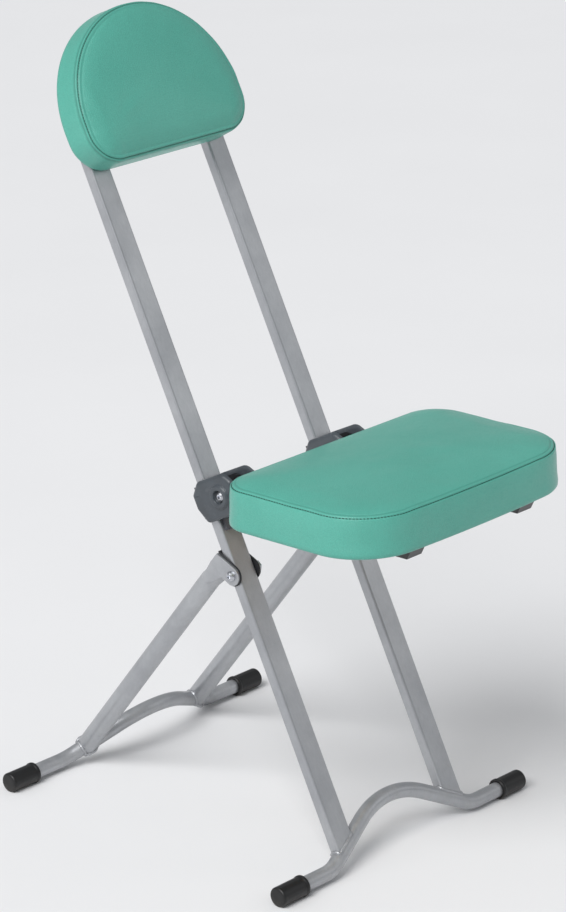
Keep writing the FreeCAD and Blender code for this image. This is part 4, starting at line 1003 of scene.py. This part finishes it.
def housingHalf(node, outward, body):
    low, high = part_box(node)
    railSide = 1.0 if low[0] + high[0] > 0 else -1.0
    facing = railSide * outward
    rail = railSide * railAcross
    rim = max((high[0] - rail) * facing, (low[0] - rail) * facing)
    outer = rim - 0.003
    inner = outer - 0.0064
    rim += housing["bossRise"]
    outline, away = roundedPolygon(housing["corners"], 0.0012)
    pivot = np.array([float((seatPivot - railFoot) @ railFront), 0.0])
    spoke = unit(outline - pivot)
    edge = housing["edge"]
    rows = [(outline - away * 0.006, inner), (outline - away * 0.0006, inner), (outline, inner + 0.0005)]
    for angle in np.radians(np.linspace(0, 90, 9)):
        rows.append((outline - away * edge * (1 - math.cos(angle)), outer - edge + edge * math.sin(angle)))
    last = rows[-1][0]
    ring = housing["bossRadius"]
    for share in np.linspace(0, 1, 7)[1:]:
        circle = pivot + spoke * (ring + 0.0022)
        lift = housing["dome"] * math.sin(share * math.pi / 2) * 0.5
        rows.append((last + (circle - last) * share, outer + lift))
    base = rows[-1][1]
    for angle in np.radians(np.linspace(0, 90, 5))[1:]:  # a hollow fillet up to the boss
        rows.append((pivot + spoke * (ring + 0.0010 + 0.0012 * (1 - math.sin(angle))),
                     base + 0.0010 * (1 - math.cos(angle))))
    rows.append((pivot + spoke * (ring + 0.0002), rim - housing["bossEdge"]))
    for angle in np.radians(np.linspace(0, 90, 5)):
        rows.append((pivot + spoke * (ring - housing["bossEdge"] * (1 - math.cos(angle))),
                     rim - housing["bossEdge"] * (1 - math.sin(angle))))
    recess = housing["recess"]
    rows += [(pivot + spoke * (recess + 0.0008), rim), (pivot + spoke * (recess + 0.0002), rim - 0.0003)]
    rows += [(pivot + spoke * recess, rim - 0.001), (pivot + spoke * recess, rim - housing["recessDepth"])]
    rows += [(pivot + spoke * recess * 0.5, rim - housing["recessDepth"])]
    start = railFoot + railUp * float((seatPivot - railFoot) @ railUp) + across * rail
    grid = np.array([start + plan[:, :1] * railFront + plan[:, 1:] * railUp + across * facing * height
                     for plan, height in rows])
    centre = start + pivot[0] * railFront
    points, faces = closedShape(grid, centre + across * facing * inner,
                                centre + across * facing * (rim - housing["recessDepth"]))
    if facing < 0:
        faces = [face[::-1] for face in faces]
    # the half of the back wall, as a prism between the middle of the rail and the cheek
    wall = housing["corners"][0][0]
    section = np.array([(wall, 0.0112), (wall, -0.0050), (wall + 0.0006, -0.0070), (wall + 0.0024, -0.0106),
                        (wall + 0.0024, 0.0141), (wall + 0.0007, 0.0125)])
    stops = [0.0001, inner + 0.002]
    prism = np.array([start + section[:, :1] * railFront + section[:, 1:] * railUp + across * facing * stop
                      for stop in stops]).reshape(-1, 3)
    count = len(section)
    first = len(points)
    prismFaces = gridFaces(2, count).tolist() + [list(range(count))[::-1], list(range(count, 2 * count))]
    if facing < 0:
        prismFaces = [face[::-1] for face in prismFaces]
    faces += [[first + corner for corner in face] for face in prismFaces]
    name = node + "_moulded"
    piece = makeObject(name, makeMesh(name, np.concatenate([points, prism]), faces))
    flatFrom = len(faces) - len(prismFaces)
    for polygon in piece.data.polygons[flatFrom:]:
        polygon.use_smooth = False
    finishPiece(piece, finishes["charcoal_plastic"], body, [node])


for side in ("left", "right"):
    housingHalf("slider_cover_outer_" + side, 1.0, "carriage")
    housingHalf("slider_cover_inner_" + side, -1.0, "carriage")
print("slider housings")


# weld beads round the feet of the rails and the legs, on the arch of each foot bar
weld = {
    "size": 0.0021,
    "ripple": 0.00035,
    "ripplePitch": 0.0021,
    "slope": math.radians(29.0),
    "overhang": 0.029,
}


def weldBead(name, node, section, up, body, seed):
    # the bead follows the curve where the upright's side meets the round bar, on the bar's rising stretch
    barNode = "front_cap_left" if body == "front_frame" else "rear_cap_left"
    low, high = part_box(barNode)
    bar = np.array([0.0, (low[1] + high[1]) / 2, high[2] - (high[1] - low[1]) / 2])
    fore = np.cross(across, up)
    side = 1.0 if boxMiddle(node)[0] > 0 else -1.0
    x = side * railAcross + section[:, 0]
    b = section[:, 1]
    barRadius = 0.0095
    rise = (railAcross + weld["overhang"] - np.abs(x)) * math.tan(weld["slope"])
    t = rise + np.sqrt(np.maximum(barRadius ** 2 - b ** 2, 0)) / math.cos(weld["slope"])
    path = bar + x[:, None] * across + b[:, None] * fore + t[:, None] * up
    lengths = np.concatenate([[0.0], np.cumsum(np.linalg.norm(np.diff(path, axis=0), axis=1))])
    ahead = unit(np.roll(path, -1, 0) - np.roll(path, 1, 0))
    sideways = unit(section @ np.array([across, fore]))
    upward = unit(np.cross(ahead, sideways))
    ripple = weld["ripple"] * (np.abs(np.sin(lengths / weld["ripplePitch"] * math.pi)) - 0.5)
    size = weld["size"] + ripple + 0.0003 * noiseWave(lengths * 260.0, seed)
    turn = np.radians(np.arange(9) * 40)
    wander = 0.0002 * noiseWave(lengths * 410.0, seed + 5.0)
    ring = sideways[:, None] * np.cos(turn)[None, :, None] + upward[:, None] * np.sin(turn)[None, :, None]
    points = path[:, None] + ring * size[:, None, None] + upward[:, None] * wander[:, None, None]
    faces = gridFaces(len(path), 9, True, True)
    spin = np.einsum("ni,ni->n", np.cross(ahead, sideways), upward).mean()
    faces = [list(face)[::-1] if spin > 0 else list(face) for face in faces]
    piece = makeObject(name, makeMesh(name, points.reshape(-1, 3), faces))
    finishPiece(piece, finishes["silver_paint"], body)


railSection = roundedPolygon([
    (railHalfWidth, -0.0075, 0.003), (railHalfWidth, 0.0075, 0.003),
    (-railHalfWidth, 0.0075, 0.003), (-railHalfWidth, -0.0075, 0.003)], 0.0007)[0]
circleTurn = np.radians(np.arange(110) * 360 / 110)
legSection = 0.0125 * np.stack([np.cos(circleTurn), np.sin(circleTurn)], -1)
for count, side in enumerate(("left", "right")):
    weldBead("rail_weld_" + side, "rail_" + side, railSection, railUp, "front_frame", count + 1.0)
    weldBead("leg_weld_" + side, "rear_leg_" + side, legSection, legUp, "rear_frame", count + 6.0)
print("weld beads")


# camera, floor and light
view = {
    "fromRailFoot": (-3.00666, -2.60594, 1.98555),
    "pitch": 69.59,
    "turn": -46.93,
    "lens": 143.74,
}
camera = bpy.data.objects.new("camera", bpy.data.cameras.new("camera"))
scene.collection.objects.link(camera)
camera.location = Vector(view["fromRailFoot"]) + Vector(railFoot)
camera.rotation_euler = (math.radians(view["pitch"]), 0.0, math.radians(view["turn"]))
camera.data.lens = view["lens"]
camera.data.sensor_width = 36.0
camera.data.clip_end = 60.0
scene.camera = camera

floorCorners = [(-20, -20, 0), (20, -20, 0), (20, 20, 0), (-20, 20, 0)]
floorMesh = makeMesh("studio_floor", floorCorners, [[0, 1, 2, 3]])
floor = makeObject("studio_floor", floorMesh)
paper = Finish("studioPaper", Roughness=0.9)
paper.feed(Base_Color=paper.blend(paper.noise(3.0, 3.0), tint(236, 236, 237), tint(232, 232, 233)))
floorMesh.materials.append(paper.material)

light = {
    "sunFrom": (-0.66, -0.14, 0.74),
    "sunPower": 2.5,
    "sunAngle": 36.0,
    "worldPower": 0.38,
    "panelAt": (-2.4, 1.2, 2.4),
    "panelSize": (0.9, 2.4),
    "panelPower": 12.0,
    "stripAt": (2.1, -2.0, 1.6),
    "stripSize": (0.9, 1.6),
    "stripPower": 4.0,
}


def addLight(name, kind, place, power):
    lamp = bpy.data.lights.new(name, kind)
    lamp.energy = power
    spot = bpy.data.objects.new(name, lamp)
    scene.collection.objects.link(spot)
    spot.location = place
    spot.rotation_euler = (Vector((0, 0, 0.5)) - Vector(place)).to_track_quat("-Z", "Y").to_euler()
    return lamp


sun = addLight("softSun", "SUN", Vector(light["sunFrom"]) * 4 + Vector((0, 0, 0.5)), light["sunPower"])
sun.angle = math.radians(light["sunAngle"])
panel = addLight("sidePanel", "AREA", light["panelAt"], light["panelPower"])
panel.shape = "RECTANGLE"
panel.size, panel.size_y = light["panelSize"]
strip = addLight("frontStrip", "AREA", light["stripAt"], light["stripPower"])
strip.shape = "RECTANGLE"
strip.size, strip.size_y = light["stripSize"]
world = bpy.data.worlds.new("studio")
scene.world = world
world.use_nodes = True
world.node_tree.nodes["Background"].inputs["Color"].default_value = (0.95, 0.97, 1.0, 1.0)
world.node_tree.nodes["Background"].inputs["Strength"].default_value = light["worldPower"]
print("camera and light set")
